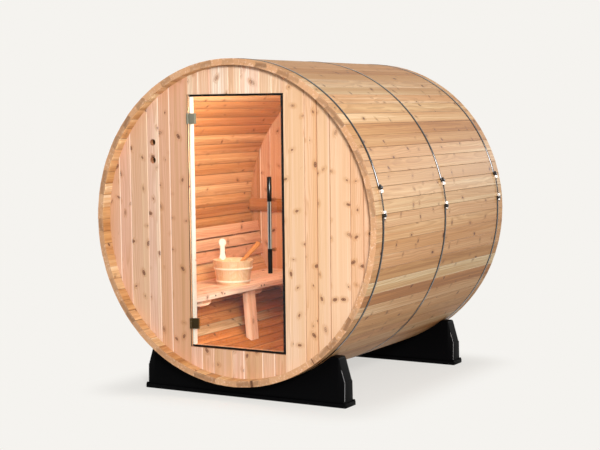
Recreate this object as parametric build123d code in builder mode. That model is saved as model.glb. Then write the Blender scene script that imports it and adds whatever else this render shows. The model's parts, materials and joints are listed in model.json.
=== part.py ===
"""Barrel sauna: a round cabin of lengthwise staves with a glass door in its front wall.

Frame: millimetres, +Z up, the door faces -Y. The origin lies on the ground under the middle of
the barrel.
"""

import os
from math import atan2, ceil, cos, radians, sin, sqrt

from build123d import *

# ---------------------------------------------------------------- driving dimensions
# Barrel
barrel_radius = 914.0  # to the outer corners of the staves
barrel_length = 1750.0
ground_clearance = 80.0  # ground to the lowest stave corner
stave_count = 78
staves_per_segment = 6
stave_thickness = 35.0

# End walls, let into a groove (croze) in the staves
wall_thickness = 38.0
wall_recess = 70.0  # from the stave ends to the outer face of each wall
croze_depth = 10.0
croze_clearance = 1.0
vent_diameter = 38.0
vent_offset = 560.0  # left of the middle
vent_height = 398.0  # middle of the pair, above the axis
vent_spacing = 102.0
batten_height = 86.0
batten_thickness = 20.0
batten_drop = 17.0  # middle of the back wall batten below the axis

# Doorway and door
doorway_width = 628.0
doorway_height = 1440.0
lining_thickness = 12.0
lining_stand_out = 10.0  # beyond the inner face of the wall
door_gap = 5.5  # all round the door
stop_gap = 7.0  # glass to lining
glass_thickness = 8.0
glass_set_back = 1.0  # behind the face of the front wall
seal_edge = 3.0  # outside the edge of the glass; none on the hinge side
seal_lip = 4.0  # over the face of the glass
seal_lip_thickness = 1.5

# Hinges
hinge_height = 60.0
hinge_offset = 584.0  # middle of a hinge above or below the axis
hinge_plate_width = 44.0
hinge_plate_thickness = 7.0
hinge_back_thickness = 4.0
hinge_back_inset = 12.0  # back plate from the edge of the glass
hinge_notch_height = 34.0
hinge_notch_depth = 22.0
hinge_notch_clearance = 0.3
knuckle_diameter = 14.0
knuckle_gap = 0.5
pin_diameter = 6.0
pin_clearance = 0.05
leaf_thickness = 2.5

# Door pull
pull_diameter = 25.0
pull_length = 530.0
pull_stand_off = 45.0  # glass to the middle of the tube
pull_hole_spacing = 275.0
pull_inset = 67.0  # from the side of the doorway to the middle of the tube
pull_stud_diameter = 12.0
pull_stud_clearance = 0.3
pull_post_diameter = 16.0
pull_cap_diameter = 24.0
pull_cap_thickness = 4.0

# Tension bands
band_width = 22.0
band_thickness = 1.5
front_band_inset = 80.0  # stave ends to the middle of the band
back_band_inset = 83.0
band_loop_angle = 81.2  # middle of the tensioner, from the top towards +X
band_loop_half_angle = 4.6
lug_diameter = 17.0
lug_length = 30.0
lug_clearance = 0.2
draw_bolt_diameter = 8.0
draw_bolt_clearance = 0.6
draw_bolt_tail = 12.0
draw_nut_width = 13.0
draw_nut_height = 7.0

# Cradles
cradle_wrap = 195.0  # how far the saddle reaches up the barrel
cradle_horn_width = 50.0  # flat top beside the barrel
cradle_flare = 42.0  # each end stands out from the top to the knee
cradle_knee_height = 142.0
cradle_base_thickness = 98.0
cradle_top_thickness = 80.0
cradle_foot_lip = 11.0
cradle_foot_height = 24.0
front_cradle_band_gap = 32.0
back_cradle_band_gap = 1.0
band_relief = 0.6  # room for a band that passes over a saddle

# Bench along the left wall
seat_rise = 428.0  # top of the seat above the lowest inner face
seat_depth = 382.0  # front of the fascia to the staves, at the top of the seat
seat_board_width = 145.0
seat_board_gap = 5.0
seat_thickness = 38.0
fascia_thickness = 20.0
bearer_width = 89.0
bearer_thickness = 38.0
bearer_chamfer = 20.0
end_bearer_offset = 520.0
leg_thickness = 38.0
leg_width = 89.0
leg_offset = -25.0  # middle of the leg along the barrel
leg_lean = 24.0  # how far the foot stands in from the top
leg_lean_height = 301.0

# Backrest
backrest_slats = 3
backrest_slat_height = 70.0
backrest_slat_thickness = 20.0
backrest_slat_pitch = 78.0
backrest_rise = 104.0  # lower edge of the lowest slat above the seat
backrest_foot_gap = 26.0  # front face of that edge to the staves, level
backrest_head_gap = 44.0  # the same at the upper edge of the highest slat
backrest_batten_width = 60.0
backrest_batten_offset = 520.0

# Bucket and ladle
bucket_setback = 126.0  # front of the bench to the middle of the bucket
bucket_offset = -63.0  # along the barrel
bucket_base_diameter = 202.0
bucket_rim_diameter = 250.0
bucket_height = 152.0
bucket_wall = 12.0
bucket_hoop_height = 10.0
bucket_hoop_thickness = 4.0
bucket_hoop_clearance = 0.2
upper_hoop_rise = 96.0
lower_hoop_rise = 18.0
grip_rise = 122.0  # above the rim
grip_turn = 157.0  # degrees from +X
grip_head_diameter = 52.0
grip_neck_width = 31.0
grip_foot_width = 88.0
grip_thickness = 14.0
grip_root = 34.0
ladle_turn = 71.0  # degrees from +X
ladle_pitch = 38.0  # degrees above level
ladle_reach = 294.0  # middle of the bowl to the end of the stick
ladle_stick_diameter = 22.0
ladle_bowl_diameter = 78.0
ladle_bowl_depth = 35.0  # below the middle of the stick
ladle_bowl_lip = 5.0  # above it
ladle_bowl_wall = 5.0
ladle_clearance = 0.3

# ---------------------------------------------------------------- worked-out dimensions
half_length = barrel_length / 2
axis_height = barrel_radius + ground_clearance
stave_pitch = 360 / stave_count
segment_count = stave_count // staves_per_segment
face_ratio = cos(radians(stave_pitch / 2))
outer_face = barrel_radius * face_ratio
inner_face = outer_face - stave_thickness
inner_radius = inner_face / face_ratio
croze_radius = (inner_face + croze_depth) / face_ratio
wall_radius = (inner_face + croze_depth - croze_clearance) / face_ratio

front_wall_y = -half_length + wall_recess
cabin_front_y = front_wall_y + wall_thickness
cabin_back_y = half_length - wall_recess - wall_thickness
cabin_length = cabin_back_y - cabin_front_y
cabin_middle_y = (cabin_front_y + cabin_back_y) / 2

glass_front_y = front_wall_y + glass_set_back
glass_back_y = glass_front_y + glass_thickness
lining_front_y = glass_back_y + stop_gap
lining_depth = cabin_front_y + lining_stand_out - lining_front_y
glass_left = -doorway_width / 2 + leaf_thickness + door_gap
seal_right = doorway_width / 2 - door_gap
seal_height = doorway_height - 2 * door_gap
seal_width = seal_right - glass_left
glass_width = seal_width - seal_edge
glass_height = seal_height - 2 * seal_edge

knuckle_x = -doorway_width / 2 + (door_gap + leaf_thickness) / 2
knuckle_y = front_wall_y - knuckle_diameter / 2 - knuckle_gap
knuckle_height = hinge_height / 3

front_band_y = -half_length + front_band_inset
back_band_y = half_length - back_band_inset
band_places = {"front": front_band_y, "middle": 0.0, "back": back_band_y}
lug_radius = barrel_radius + band_thickness + lug_diameter / 2 + lug_clearance

front_cradle_y = front_band_y + band_width / 2 + front_cradle_band_gap + cradle_top_thickness / 2
back_cradle_y = back_band_y - band_width / 2 - back_cradle_band_gap - cradle_top_thickness / 2
cradle_places = {"front": front_cradle_y, "back": back_cradle_y}
cradle_top_height = ground_clearance + cradle_wrap

def wall_x(height):
    """How far left of the middle the inner faces of the staves stand at a height."""
    return -sqrt(inner_face**2 - (height - axis_height) ** 2)


seat_top = axis_height - inner_face + seat_rise
seat_underside = seat_top - seat_thickness
seat_front = wall_x(seat_top) + seat_depth
seat_back_of_fascia = seat_front - fascia_thickness
backrest_height = (backrest_slats - 1) * backrest_slat_pitch + backrest_slat_height
backrest_foot_z = seat_top + backrest_rise
backrest_foot_x = wall_x(backrest_foot_z) + backrest_foot_gap
backrest_head_x = wall_x(backrest_foot_z + backrest_height) + backrest_head_gap
backrest_lean = atan2(backrest_foot_x - backrest_head_x, backrest_height)
mid_bearer_y = leg_offset + (leg_width + bearer_width) / 2
bearer_places = (
    cabin_middle_y - end_bearer_offset,
    mid_bearer_y,
    cabin_middle_y + end_bearer_offset,
)


def across(y, height=axis_height):
    """A sketch plane across the barrel: local x is +X, local y is +Z, and it extrudes to -Y."""
    return Plane(origin=(0, y, height), x_dir=(1, 0, 0), z_dir=(0, -1, 0))


def seam_point(index, radius):
    """A corner between two staves; stave 0 is centred on the top and they count towards +X."""
    angle = radians((index - 0.5) * stave_pitch)
    return (radius * sin(angle), radius * cos(angle))


def ring_outline(radius):
    """The many-sided outline that the faces of the staves make."""
    return [seam_point(index, radius) for index in range(stave_count)]


def around(angle, radius):
    """A point on a circle about the barrel's axis, in world coordinates without y."""
    return (radius * sin(radians(angle)), axis_height + radius * cos(radians(angle)))


def keep(piece, name):
    """Labels a finished piece and writes its file."""
    piece.label = name
    export_step(piece, f"parts/{name}.step")


os.makedirs("parts", exist_ok=True)

# ---------------------------------------------------------------- shared shapes
with BuildPart() as croze_space:
    for wall_back_y in (cabin_front_y, cabin_back_y + wall_thickness):
        with BuildSketch(across(wall_back_y)):
            Polygon(*ring_outline(croze_radius), align=None)
        extrude(amount=wall_thickness)

with BuildPart() as cabin_space:
    with BuildSketch(across(cabin_back_y)):
        Polygon(*ring_outline(inner_radius), align=None)
    extrude(amount=cabin_length)

with BuildPart() as front_disc:
    with BuildSketch(across(cabin_front_y)):
        Polygon(*ring_outline(wall_radius), align=None)
    extrude(amount=wall_thickness)

# ---------------------------------------------------------------- staves
for segment in range(segment_count):
    first = segment * staves_per_segment - (staves_per_segment - 1) // 2
    seams = range(first, first + staves_per_segment + 1)
    outline = [seam_point(index, barrel_radius) for index in seams]
    outline += [seam_point(index, inner_radius) for index in reversed(seams)]
    with BuildPart() as staves:
        with BuildSketch(across(half_length)):
            Polygon(*outline, align=None)
        extrude(amount=barrel_length)
        add(croze_space.part, mode=Mode.SUBTRACT)
    keep(staves.part, f"stave_segment_{segment + 1:02d}")

# ---------------------------------------------------------------- front wall
side_width = barrel_radius - doorway_width / 2
for side, name in ((-1, "front_wall_left"), (1, "front_wall_right")):
    with BuildPart() as wall_side:
        add(front_disc.part)
        with BuildSketch(across(cabin_front_y)):
            with Locations((side * (doorway_width + side_width) / 2, 0)):
                Rectangle(side_width, 2 * barrel_radius)
        extrude(amount=wall_thickness, mode=Mode.INTERSECT)
        if side < 0:
            with BuildSketch(across(cabin_front_y)):
                with Locations((-vent_offset, vent_height)):
                    with GridLocations(0, vent_spacing, 1, 2):
                        Circle(vent_diameter / 2)
            extrude(amount=wall_thickness, mode=Mode.SUBTRACT)
    keep(wall_side.part, name)

end_height = barrel_radius - doorway_height / 2
for side, name in ((1, "front_wall_over_door"), (-1, "front_wall_under_door")):
    with BuildPart() as wall_end:
        add(front_disc.part)
        with BuildSketch(across(cabin_front_y)):
            with Locations((0, side * (doorway_height + end_height) / 2)):
                Rectangle(doorway_width, end_height)
        extrude(amount=wall_thickness, mode=Mode.INTERSECT)
    keep(wall_end.part, name)

# ---------------------------------------------------------------- back wall
with BuildPart() as back_wall:
    with BuildSketch(across(cabin_back_y + wall_thickness)):
        Polygon(*ring_outline(wall_radius), align=None)
    extrude(amount=wall_thickness)
keep(back_wall.part, "back_wall")

with BuildPart() as back_wall_batten:
    with Locations((0, cabin_back_y - batten_thickness / 2, axis_height - batten_drop)):
        Box(2 * barrel_radius, batten_thickness, batten_height)
    add(cabin_space.part, mode=Mode.INTERSECT)
keep(back_wall_batten.part, "back_wall_batten")

# ---------------------------------------------------------------- door lining
with BuildPart() as door_lining:
    with BuildSketch(across(lining_front_y + lining_depth)):
        Rectangle(doorway_width, doorway_height)
        Rectangle(
            doorway_width - 2 * lining_thickness,
            doorway_height - 2 * lining_thickness,
            mode=Mode.SUBTRACT,
        )
    extrude(amount=lining_depth)
keep(door_lining.part, "door_lining")

# ---------------------------------------------------------------- door leaf
glass_middle_x = glass_left + glass_width / 2
glass_middle_y = (glass_front_y + glass_back_y) / 2
pull_x = doorway_width / 2 - pull_inset
with BuildPart() as glass_blank:
    with Locations((glass_middle_x, glass_middle_y, axis_height)):
        Box(glass_width, glass_thickness, glass_height)

with BuildPart() as door_glass:
    add(glass_blank.part)
    with BuildSketch(across(glass_back_y)):
        with Locations((glass_left + hinge_notch_depth / 2, 0)):
            with GridLocations(0, 2 * hinge_offset, 1, 2):
                Rectangle(hinge_notch_depth, hinge_notch_height)
        with Locations((pull_x, 0)):
            with GridLocations(0, pull_hole_spacing, 1, 2):
                Circle(pull_stud_diameter / 2 + pull_stud_clearance)
    extrude(amount=glass_thickness, mode=Mode.SUBTRACT)
keep(door_glass.part, "door_glass")

seal_band = seal_edge + seal_lip
seal_depth = glass_thickness + 2 * seal_lip_thickness
with BuildPart() as door_seal:
    with BuildSketch(across(glass_back_y + seal_lip_thickness)):
        with Locations(((glass_left + seal_right) / 2, 0)):
            Rectangle(seal_width, seal_height)
            with Locations((-seal_band / 2, 0)):
                Rectangle(seal_width - seal_band, seal_height - 2 * seal_band, mode=Mode.SUBTRACT)
    extrude(amount=seal_depth)
    add(glass_blank.part, mode=Mode.SUBTRACT)
keep(door_seal.part, "door_seal")

# ---------------------------------------------------------------- hinges
plate_left = knuckle_x + knuckle_diameter / 2 + knuckle_gap
plate_right = glass_left + hinge_plate_width
plate_front_y = glass_front_y - hinge_plate_thickness
plate_middle_y = glass_front_y - hinge_plate_thickness / 2
back_left = glass_left + hinge_back_inset
web_left = glass_left + hinge_notch_clearance
web_right = glass_left + hinge_notch_depth - hinge_notch_clearance
for side, name in ((1, "upper"), (-1, "lower")):
    hinge_z = axis_height + side * hinge_offset
    knuckle_top = Plane.XY.offset(hinge_z + knuckle_height / 2 - knuckle_gap)
    with BuildPart() as clamp:
        with Locations(((plate_left + plate_right) / 2, plate_middle_y, hinge_z)):
            Box(plate_right - plate_left, hinge_plate_thickness, hinge_height)
        with Locations(((back_left + plate_right) / 2, glass_back_y + hinge_back_thickness / 2, hinge_z)):
            Box(plate_right - back_left, hinge_back_thickness, hinge_height)
        with Locations(((web_left + web_right) / 2, glass_middle_y, hinge_z)):
            Box(
                web_right - web_left,
                glass_thickness,
                hinge_notch_height - 2 * hinge_notch_clearance,
            )
        with Locations(((knuckle_x + plate_left) / 2, plate_middle_y, hinge_z)):
            Box(
                plate_left - knuckle_x,
                hinge_plate_thickness,
                knuckle_height - 2 * knuckle_gap,
            )
        with Locations((knuckle_x, knuckle_y, hinge_z)):
            Cylinder(knuckle_diameter / 2, knuckle_height - 2 * knuckle_gap)
        with Locations((knuckle_x, knuckle_y, hinge_z)):
            Cylinder(pin_diameter / 2 + pin_clearance, hinge_height, mode=Mode.SUBTRACT)
    keep(clamp.part, f"hinge_{name}_glass_clamp")

    leaf_depth = lining_front_y - knuckle_y
    with BuildPart() as leaf:
        with Locations((knuckle_x, knuckle_y, hinge_z)):
            Cylinder(pin_diameter / 2, hinge_height)
        for end in (-1, 1):
            with Locations((knuckle_x, knuckle_y, hinge_z + end * knuckle_height)):
                Cylinder(knuckle_diameter / 2, knuckle_height)
        with Locations(
            (
                (leaf_thickness - doorway_width) / 2,
                knuckle_y + leaf_depth / 2,
                hinge_z,
            )
        ):
            with Locations((0, 0, knuckle_height), (0, 0, -knuckle_height)):
                Box(leaf_thickness, leaf_depth, knuckle_height)
            with Locations((0, (leaf_depth - (lining_front_y - front_wall_y)) / 2, 0)):
                Box(leaf_thickness, lining_front_y - front_wall_y, hinge_height)
    keep(leaf.part, f"hinge_{name}_wall_leaf")

# ---------------------------------------------------------------- door pull
pull_y = glass_front_y - pull_stand_off
with BuildPart() as door_pull:
    with Locations((pull_x, pull_y, axis_height)):
        Cylinder(pull_diameter / 2, pull_length)
    with BuildSketch(across(glass_front_y)):
        with Locations((pull_x, 0)):
            with GridLocations(0, pull_hole_spacing, 1, 2):
                Circle(pull_post_diameter / 2)
    extrude(amount=pull_stand_off)
    with BuildSketch(across(glass_back_y)):
        with Locations((pull_x, 0)):
            with GridLocations(0, pull_hole_spacing, 1, 2):
                Circle(pull_stud_diameter / 2)
    extrude(amount=glass_thickness)
    with BuildSketch(across(glass_back_y + pull_cap_thickness)):
        with Locations((pull_x, 0)):
            with GridLocations(0, pull_hole_spacing, 1, 2):
                Circle(pull_cap_diameter / 2)
    extrude(amount=pull_cap_thickness)
keep(door_pull.part, "door_pull")

# ---------------------------------------------------------------- tension bands
upper_angle = band_loop_angle - band_loop_half_angle
lower_angle = band_loop_angle + band_loop_half_angle
upper_lug = around(upper_angle, lug_radius)
lower_lug = around(lower_angle, lug_radius)
bolt_run = Vector(lower_lug[0] - upper_lug[0], 0, lower_lug[1] - upper_lug[1])
lug_span = bolt_run.length
for name, band_y in band_places.items():
    band_back = across(band_y + band_width / 2)
    bolt_plane = Plane(
        origin=(upper_lug[0], band_y, upper_lug[1]),
        x_dir=(0, 1, 0),
        z_dir=tuple(bolt_run.normalized()),
    )
    with BuildPart() as draw_bolt_space:
        with BuildSketch(bolt_plane.offset(-lug_diameter)):
            Circle(draw_bolt_diameter / 2 + draw_bolt_clearance)
        extrude(amount=lug_span + 2 * lug_diameter)

    with BuildPart() as band:
        with BuildSketch(band_back):
            Circle(barrel_radius + band_thickness)
            Circle(barrel_radius, mode=Mode.SUBTRACT)
            with BuildLine():
                reach = 2 * barrel_radius
                Polyline(
                    (0, 0),
                    (reach * sin(radians(upper_angle)), reach * cos(radians(upper_angle))),
                    (reach * sin(radians(lower_angle)), reach * cos(radians(lower_angle))),
                    close=True,
                )
            make_face(mode=Mode.SUBTRACT)
            loop_places = [(x, z - axis_height) for x, z in (upper_lug, lower_lug)]
            with Locations(*loop_places):
                Circle(lug_diameter / 2 + lug_clearance + band_thickness)
            with Locations(*loop_places):
                Circle(lug_diameter / 2 + lug_clearance, mode=Mode.SUBTRACT)
        extrude(amount=band_width)
        add(draw_bolt_space.part, mode=Mode.SUBTRACT)
    keep(band.part, f"band_{name}")

    with BuildPart() as tensioner:
        with BuildSketch(across(band_y + lug_length / 2)):
            with Locations(*loop_places):
                Circle(lug_diameter / 2)
        extrude(amount=lug_length)
        nut_seat = lug_diameter / 2 + lug_clearance + band_thickness
        with BuildSketch(bolt_plane.offset(-nut_seat - draw_nut_height)):
            RegularPolygon(draw_nut_width / 2, 6, major_radius=False)
        extrude(amount=draw_nut_height)
        with BuildSketch(bolt_plane.offset(-nut_seat)):
            Circle(draw_bolt_diameter / 2)
        extrude(amount=lug_span + 2 * nut_seat + draw_bolt_tail)
        with BuildSketch(bolt_plane.offset(lug_span + nut_seat)):
            RegularPolygon(draw_nut_width / 2, 6, major_radius=False)
        extrude(amount=draw_nut_height)
    keep(tensioner.part, f"tensioner_{name}")

# ---------------------------------------------------------------- cradles
for name, cradle_y in cradle_places.items():
    section = [
        (-cradle_base_thickness / 2 - cradle_foot_lip, 0),
        (cradle_base_thickness / 2 + cradle_foot_lip, 0),
        (cradle_base_thickness / 2 + cradle_foot_lip, cradle_foot_height),
        (cradle_base_thickness / 2, cradle_foot_height),
        (cradle_top_thickness / 2, cradle_top_height),
        (-cradle_top_thickness / 2, cradle_top_height),
        (-cradle_base_thickness / 2, cradle_foot_height),
        (-cradle_base_thickness / 2 - cradle_foot_lip, cradle_foot_height),
    ]
    half_top = sqrt(barrel_radius**2 - (barrel_radius - cradle_wrap) ** 2) + cradle_horn_width
    half_base = half_top + cradle_flare
    elevation = [
        (half_base + cradle_foot_lip, 0),
        (half_base + cradle_foot_lip, cradle_foot_height),
        (half_base, cradle_foot_height),
        (half_base, cradle_knee_height),
        (half_top, cradle_top_height),
    ]
    mirrored = [(-x, z) for x, z in reversed(elevation)]
    reach = half_base + cradle_foot_lip
    with BuildPart() as cradle:
        with BuildSketch(Plane(origin=(reach, cradle_y, 0), x_dir=(0, -1, 0), z_dir=(-1, 0, 0))):
            Polygon(*section, align=None)
        extrude(amount=2 * reach)
        with BuildSketch(across(cradle_y + cradle_base_thickness, 0)):
            Polygon(*elevation, *mirrored, align=None)
        extrude(amount=2 * cradle_base_thickness, mode=Mode.INTERSECT)
        with BuildSketch(across(cradle_y + cradle_base_thickness)):
            Circle(barrel_radius)
        extrude(amount=2 * cradle_base_thickness, mode=Mode.SUBTRACT)
        for band_y in band_places.values():
            with BuildSketch(across(band_y + band_width / 2 + band_relief)):
                Circle(barrel_radius + band_thickness + band_relief)
            extrude(amount=band_width + 2 * band_relief, mode=Mode.SUBTRACT)
    keep(cradle.part, f"cradle_{name}")

# ---------------------------------------------------------------- bench
seat_board_pitch = seat_board_width + seat_board_gap
seat_boards = ceil((seat_depth - fascia_thickness) / seat_board_pitch)
with BuildPart() as bench_seat:
    for board in range(seat_boards):
        board_x = seat_back_of_fascia - board * seat_board_pitch - seat_board_width / 2
        with Locations((board_x, cabin_middle_y, seat_top - seat_thickness / 2)):
            Box(seat_board_width, cabin_length, seat_thickness)
    add(cabin_space.part, mode=Mode.INTERSECT)
keep(bench_seat.part, "bench_seat_boards")

with BuildPart() as bench_fascia:
    with Locations(
        (seat_front - fascia_thickness / 2, cabin_middle_y, seat_top - seat_thickness / 2)
    ):
        Box(fascia_thickness, cabin_length, seat_thickness)
keep(bench_fascia.part, "bench_fascia")

with BuildPart() as bench_bearers:
    for bearer_y in bearer_places:
        bearer_outline = [
            (seat_back_of_fascia, seat_underside),
            (seat_back_of_fascia, seat_underside - bearer_thickness + bearer_chamfer),
            (seat_back_of_fascia - bearer_chamfer, seat_underside - bearer_thickness),
            (-barrel_radius, seat_underside - bearer_thickness),
            (-barrel_radius, seat_underside),
        ]
        with BuildSketch(across(bearer_y + bearer_width / 2, 0)):
            Polygon(*bearer_outline, align=None)
        extrude(amount=bearer_width)
    add(cabin_space.part, mode=Mode.INTERSECT)
keep(bench_bearers.part, "bench_bearers")

with BuildPart() as bench_leg:
    foot_z = axis_height - barrel_radius
    lean = leg_lean * (seat_underside - foot_z) / leg_lean_height
    leg_outline = [
        (seat_back_of_fascia, seat_underside),
        (seat_back_of_fascia - leg_thickness, seat_underside),
        (seat_back_of_fascia - leg_thickness + lean, foot_z),
        (seat_back_of_fascia + lean, foot_z),
    ]
    with BuildSketch(across(leg_offset + leg_width / 2, 0)):
        Polygon(*leg_outline, align=None)
    extrude(amount=leg_width)
    add(cabin_space.part, mode=Mode.INTERSECT)
keep(bench_leg.part, "bench_leg")

# ---------------------------------------------------------------- backrest
backrest_plane = Plane(
    origin=(backrest_foot_x, 0, backrest_foot_z),
    x_dir=(0, -1, 0),
    z_dir=(-cos(backrest_lean), 0, -sin(backrest_lean)),
)
with BuildPart() as backrest:
    with BuildSketch(backrest_plane):
        for slat in range(backrest_slats):
            with Locations((-cabin_middle_y, slat * backrest_slat_pitch + backrest_slat_height / 2)):
                Rectangle(cabin_length, backrest_slat_height)
    extrude(amount=backrest_slat_thickness)
keep(backrest.part, "backrest_slats")

with BuildPart() as backrest_battens:
    with BuildSketch(backrest_plane.offset(backrest_slat_thickness)):
        for batten_y in (-backrest_batten_offset, 0, backrest_batten_offset):
            with Locations((-cabin_middle_y - batten_y, backrest_height / 2)):
                Rectangle(backrest_batten_width, backrest_height)
    extrude(amount=barrel_radius)
    add(cabin_space.part, mode=Mode.INTERSECT)
keep(backrest_battens.part, "backrest_battens")

# ---------------------------------------------------------------- bucket and ladle
bucket_base = Vector(seat_front - bucket_setback, bucket_offset, seat_top)
side_slope = (bucket_rim_diameter - bucket_base_diameter) / 2 / bucket_height


def bucket_radius(height):
    """Outer radius of the tapered bucket at a height above its base."""
    return bucket_base_diameter / 2 + side_slope * height


bucket_plane = Plane(origin=tuple(bucket_base), x_dir=(1, 0, 0), z_dir=(0, -1, 0))
grip_centre = bucket_radius(bucket_height) - grip_thickness / 2
grip_x = cos(radians(grip_turn))
grip_y = sin(radians(grip_turn))
grip_origin = bucket_base + Vector(grip_x * grip_centre, grip_y * grip_centre, bucket_height)
grip_plane = Plane(origin=tuple(grip_origin), x_dir=(-grip_y, grip_x, 0), z_dir=(grip_x, grip_y, 0))
head_middle = grip_rise - grip_head_diameter / 2
with BuildPart() as bucket:
    with BuildSketch(bucket_plane):
        Polygon(
            (0, 0),
            (bucket_radius(0), 0),
            (bucket_radius(bucket_height), bucket_height),
            (bucket_radius(bucket_height) - bucket_wall, bucket_height),
            (bucket_radius(bucket_wall) - bucket_wall, bucket_wall),
            (0, bucket_wall),
            align=None,
        )
    revolve(axis=Axis(tuple(bucket_base), (0, 0, 1)))
    with BuildSketch(grip_plane.offset(-grip_thickness / 2)):
        with BuildLine():
            Spline(
                (grip_neck_width / 2, head_middle - grip_neck_width / 2),
                (grip_neck_width / 2, head_middle - grip_head_diameter),
                (grip_foot_width / 2, -grip_root),
                tangents=[(0, -1), (0.4, -1)],
            )
            Line((grip_foot_width / 2, -grip_root), (-grip_foot_width / 2, -grip_root))
            Spline(
                (-grip_foot_width / 2, -grip_root),
                (-grip_neck_width / 2, head_middle - grip_head_diameter),
                (-grip_neck_width / 2, head_middle - grip_neck_width / 2),
                tangents=[(0.4, 1), (0, 1)],
            )
            Line(
                (-grip_neck_width / 2, head_middle - grip_neck_width / 2),
                (grip_neck_width / 2, head_middle - grip_neck_width / 2),
            )
        make_face()
        with Locations((0, head_middle)):
            Circle(grip_head_diameter / 2)
    extrude(amount=grip_thickness)
keep(bucket.part, "bucket")

with BuildPart() as bucket_hoops:
    with BuildSketch(bucket_plane):
        for rise in (lower_hoop_rise, upper_hoop_rise):
            low = bucket_radius(rise) + bucket_hoop_clearance
            high = bucket_radius(rise + bucket_hoop_height) + bucket_hoop_clearance
            Polygon(
                (low, rise),
                (low + bucket_hoop_thickness, rise),
                (high + bucket_hoop_thickness, rise + bucket_hoop_height),
                (high, rise + bucket_hoop_height),
                align=None,
            )
    revolve(axis=Axis(tuple(bucket_base), (0, 0, 1)))
keep(bucket_hoops.part, "bucket_hoops")

pitch_cos = cos(radians(ladle_pitch))
pitch_sin = sin(radians(ladle_pitch))
ladle_level = Vector(cos(radians(ladle_turn)), sin(radians(ladle_turn)), 0)
ladle_along = ladle_level * pitch_cos + Vector(0, 0, pitch_sin)
ladle_up = Vector(0, 0, pitch_cos) - ladle_level * pitch_sin
bowl_radius = ladle_bowl_diameter / 2
stick_lift = ladle_stick_diameter / 2 + ladle_clearance
rim_edge = bucket_radius(bucket_height) - bucket_wall
bowl_rise = bucket_wall + ladle_clearance + bowl_radius * pitch_sin + ladle_bowl_depth * pitch_cos
rim_rise = bucket_height + stick_lift * pitch_cos
bowl_out = rim_edge - stick_lift * pitch_sin - (rim_rise - bowl_rise) * pitch_cos / pitch_sin
bowl_middle = bucket_base + ladle_level * bowl_out + Vector(0, 0, bowl_rise)
bowl_plane = Plane(origin=tuple(bowl_middle), z_dir=tuple(ladle_up))
stick_plane = Plane(origin=tuple(bowl_middle), z_dir=tuple(ladle_along))
with BuildPart() as ladle:
    with BuildSketch(bowl_plane.offset(-ladle_bowl_depth)):
        Circle(bowl_radius)
    extrude(amount=ladle_bowl_depth + ladle_bowl_lip)
    with BuildSketch(stick_plane.offset(bowl_radius - ladle_bowl_wall)):
        Circle(ladle_stick_diameter / 2)
    extrude(amount=ladle_reach - bowl_radius + ladle_bowl_wall)
    with BuildSketch(bowl_plane.offset(ladle_bowl_wall - ladle_bowl_depth)):
        Circle(bowl_radius - ladle_bowl_wall)
    extrude(amount=ladle_bowl_depth + ladle_stick_diameter, mode=Mode.SUBTRACT)
keep(ladle.part, "ladle")
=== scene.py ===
# %% [markdown]
# # A barrel sauna
#
# This lesson dresses a barrel sauna: a round cabin of lengthwise cedar staves held by three steel
# bands, with board walls let into both ends, a glass door and a bench inside. The solids of the
# construction model come in as a frame. They fix every size and place, and the pieces made here
# stand in front of them with the detail that a woodworker would see: grooves, knots and chamfers.

import json
import random
from math import ceil, cos, pi, radians, sin, sqrt, tan

import bmesh
import bpy
import numpy as np
from mathutils import Matrix, Vector


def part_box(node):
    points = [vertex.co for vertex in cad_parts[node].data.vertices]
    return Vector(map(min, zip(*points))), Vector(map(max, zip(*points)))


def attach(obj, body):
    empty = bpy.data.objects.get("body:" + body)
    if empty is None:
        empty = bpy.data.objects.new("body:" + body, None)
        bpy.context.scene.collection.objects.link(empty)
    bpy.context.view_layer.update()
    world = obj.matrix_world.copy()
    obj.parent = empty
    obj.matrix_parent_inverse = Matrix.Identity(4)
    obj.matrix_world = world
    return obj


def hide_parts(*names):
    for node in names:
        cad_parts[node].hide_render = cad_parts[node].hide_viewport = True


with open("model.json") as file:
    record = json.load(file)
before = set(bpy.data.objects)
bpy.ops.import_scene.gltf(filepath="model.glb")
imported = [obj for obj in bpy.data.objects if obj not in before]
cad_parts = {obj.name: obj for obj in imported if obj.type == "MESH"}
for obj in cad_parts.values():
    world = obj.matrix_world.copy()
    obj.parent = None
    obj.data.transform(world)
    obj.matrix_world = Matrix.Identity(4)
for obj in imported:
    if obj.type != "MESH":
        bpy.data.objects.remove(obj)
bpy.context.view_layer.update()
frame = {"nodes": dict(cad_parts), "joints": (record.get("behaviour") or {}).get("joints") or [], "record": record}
nodes = frame["nodes"]
chance = random.Random(38)

# %% [markdown]
# ## Sizes from the construction model
#
# A size that two models share should be written once, so most sizes here are read off the solids.
# Two small functions give the place of one face of a solid and the middle between two faces. Both
# round to a hundredth of a millimetre, which takes the noise off a stored coordinate.

# %% Read places off the solids
MM = 0.001
LOW, HIGH = 0, 1
X, Y, Z = 0, 1, 2


def face_of(node, end, axis):
    """Where the lower or higher face of a construction solid lies along one axis."""
    return round(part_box(node)[end][axis], 5)


def middle_of(node, axis):
    """The middle of a construction solid along one axis."""
    return round((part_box(node)[LOW][axis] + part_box(node)[HIGH][axis]) / 2, 5)


AXIS = middle_of("door_lining", Z)
print(f"the doorway is centred on the barrel's axis, {AXIS} m above the ground")

# %% [markdown]
# ## The barrel
#
# A barrel is easiest to think of around its axis, so the radii come first. The staves are flat
# outside and inside: the radius reaches their corners, and the distance to the middle of a flat
# face is a little less.

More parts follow.
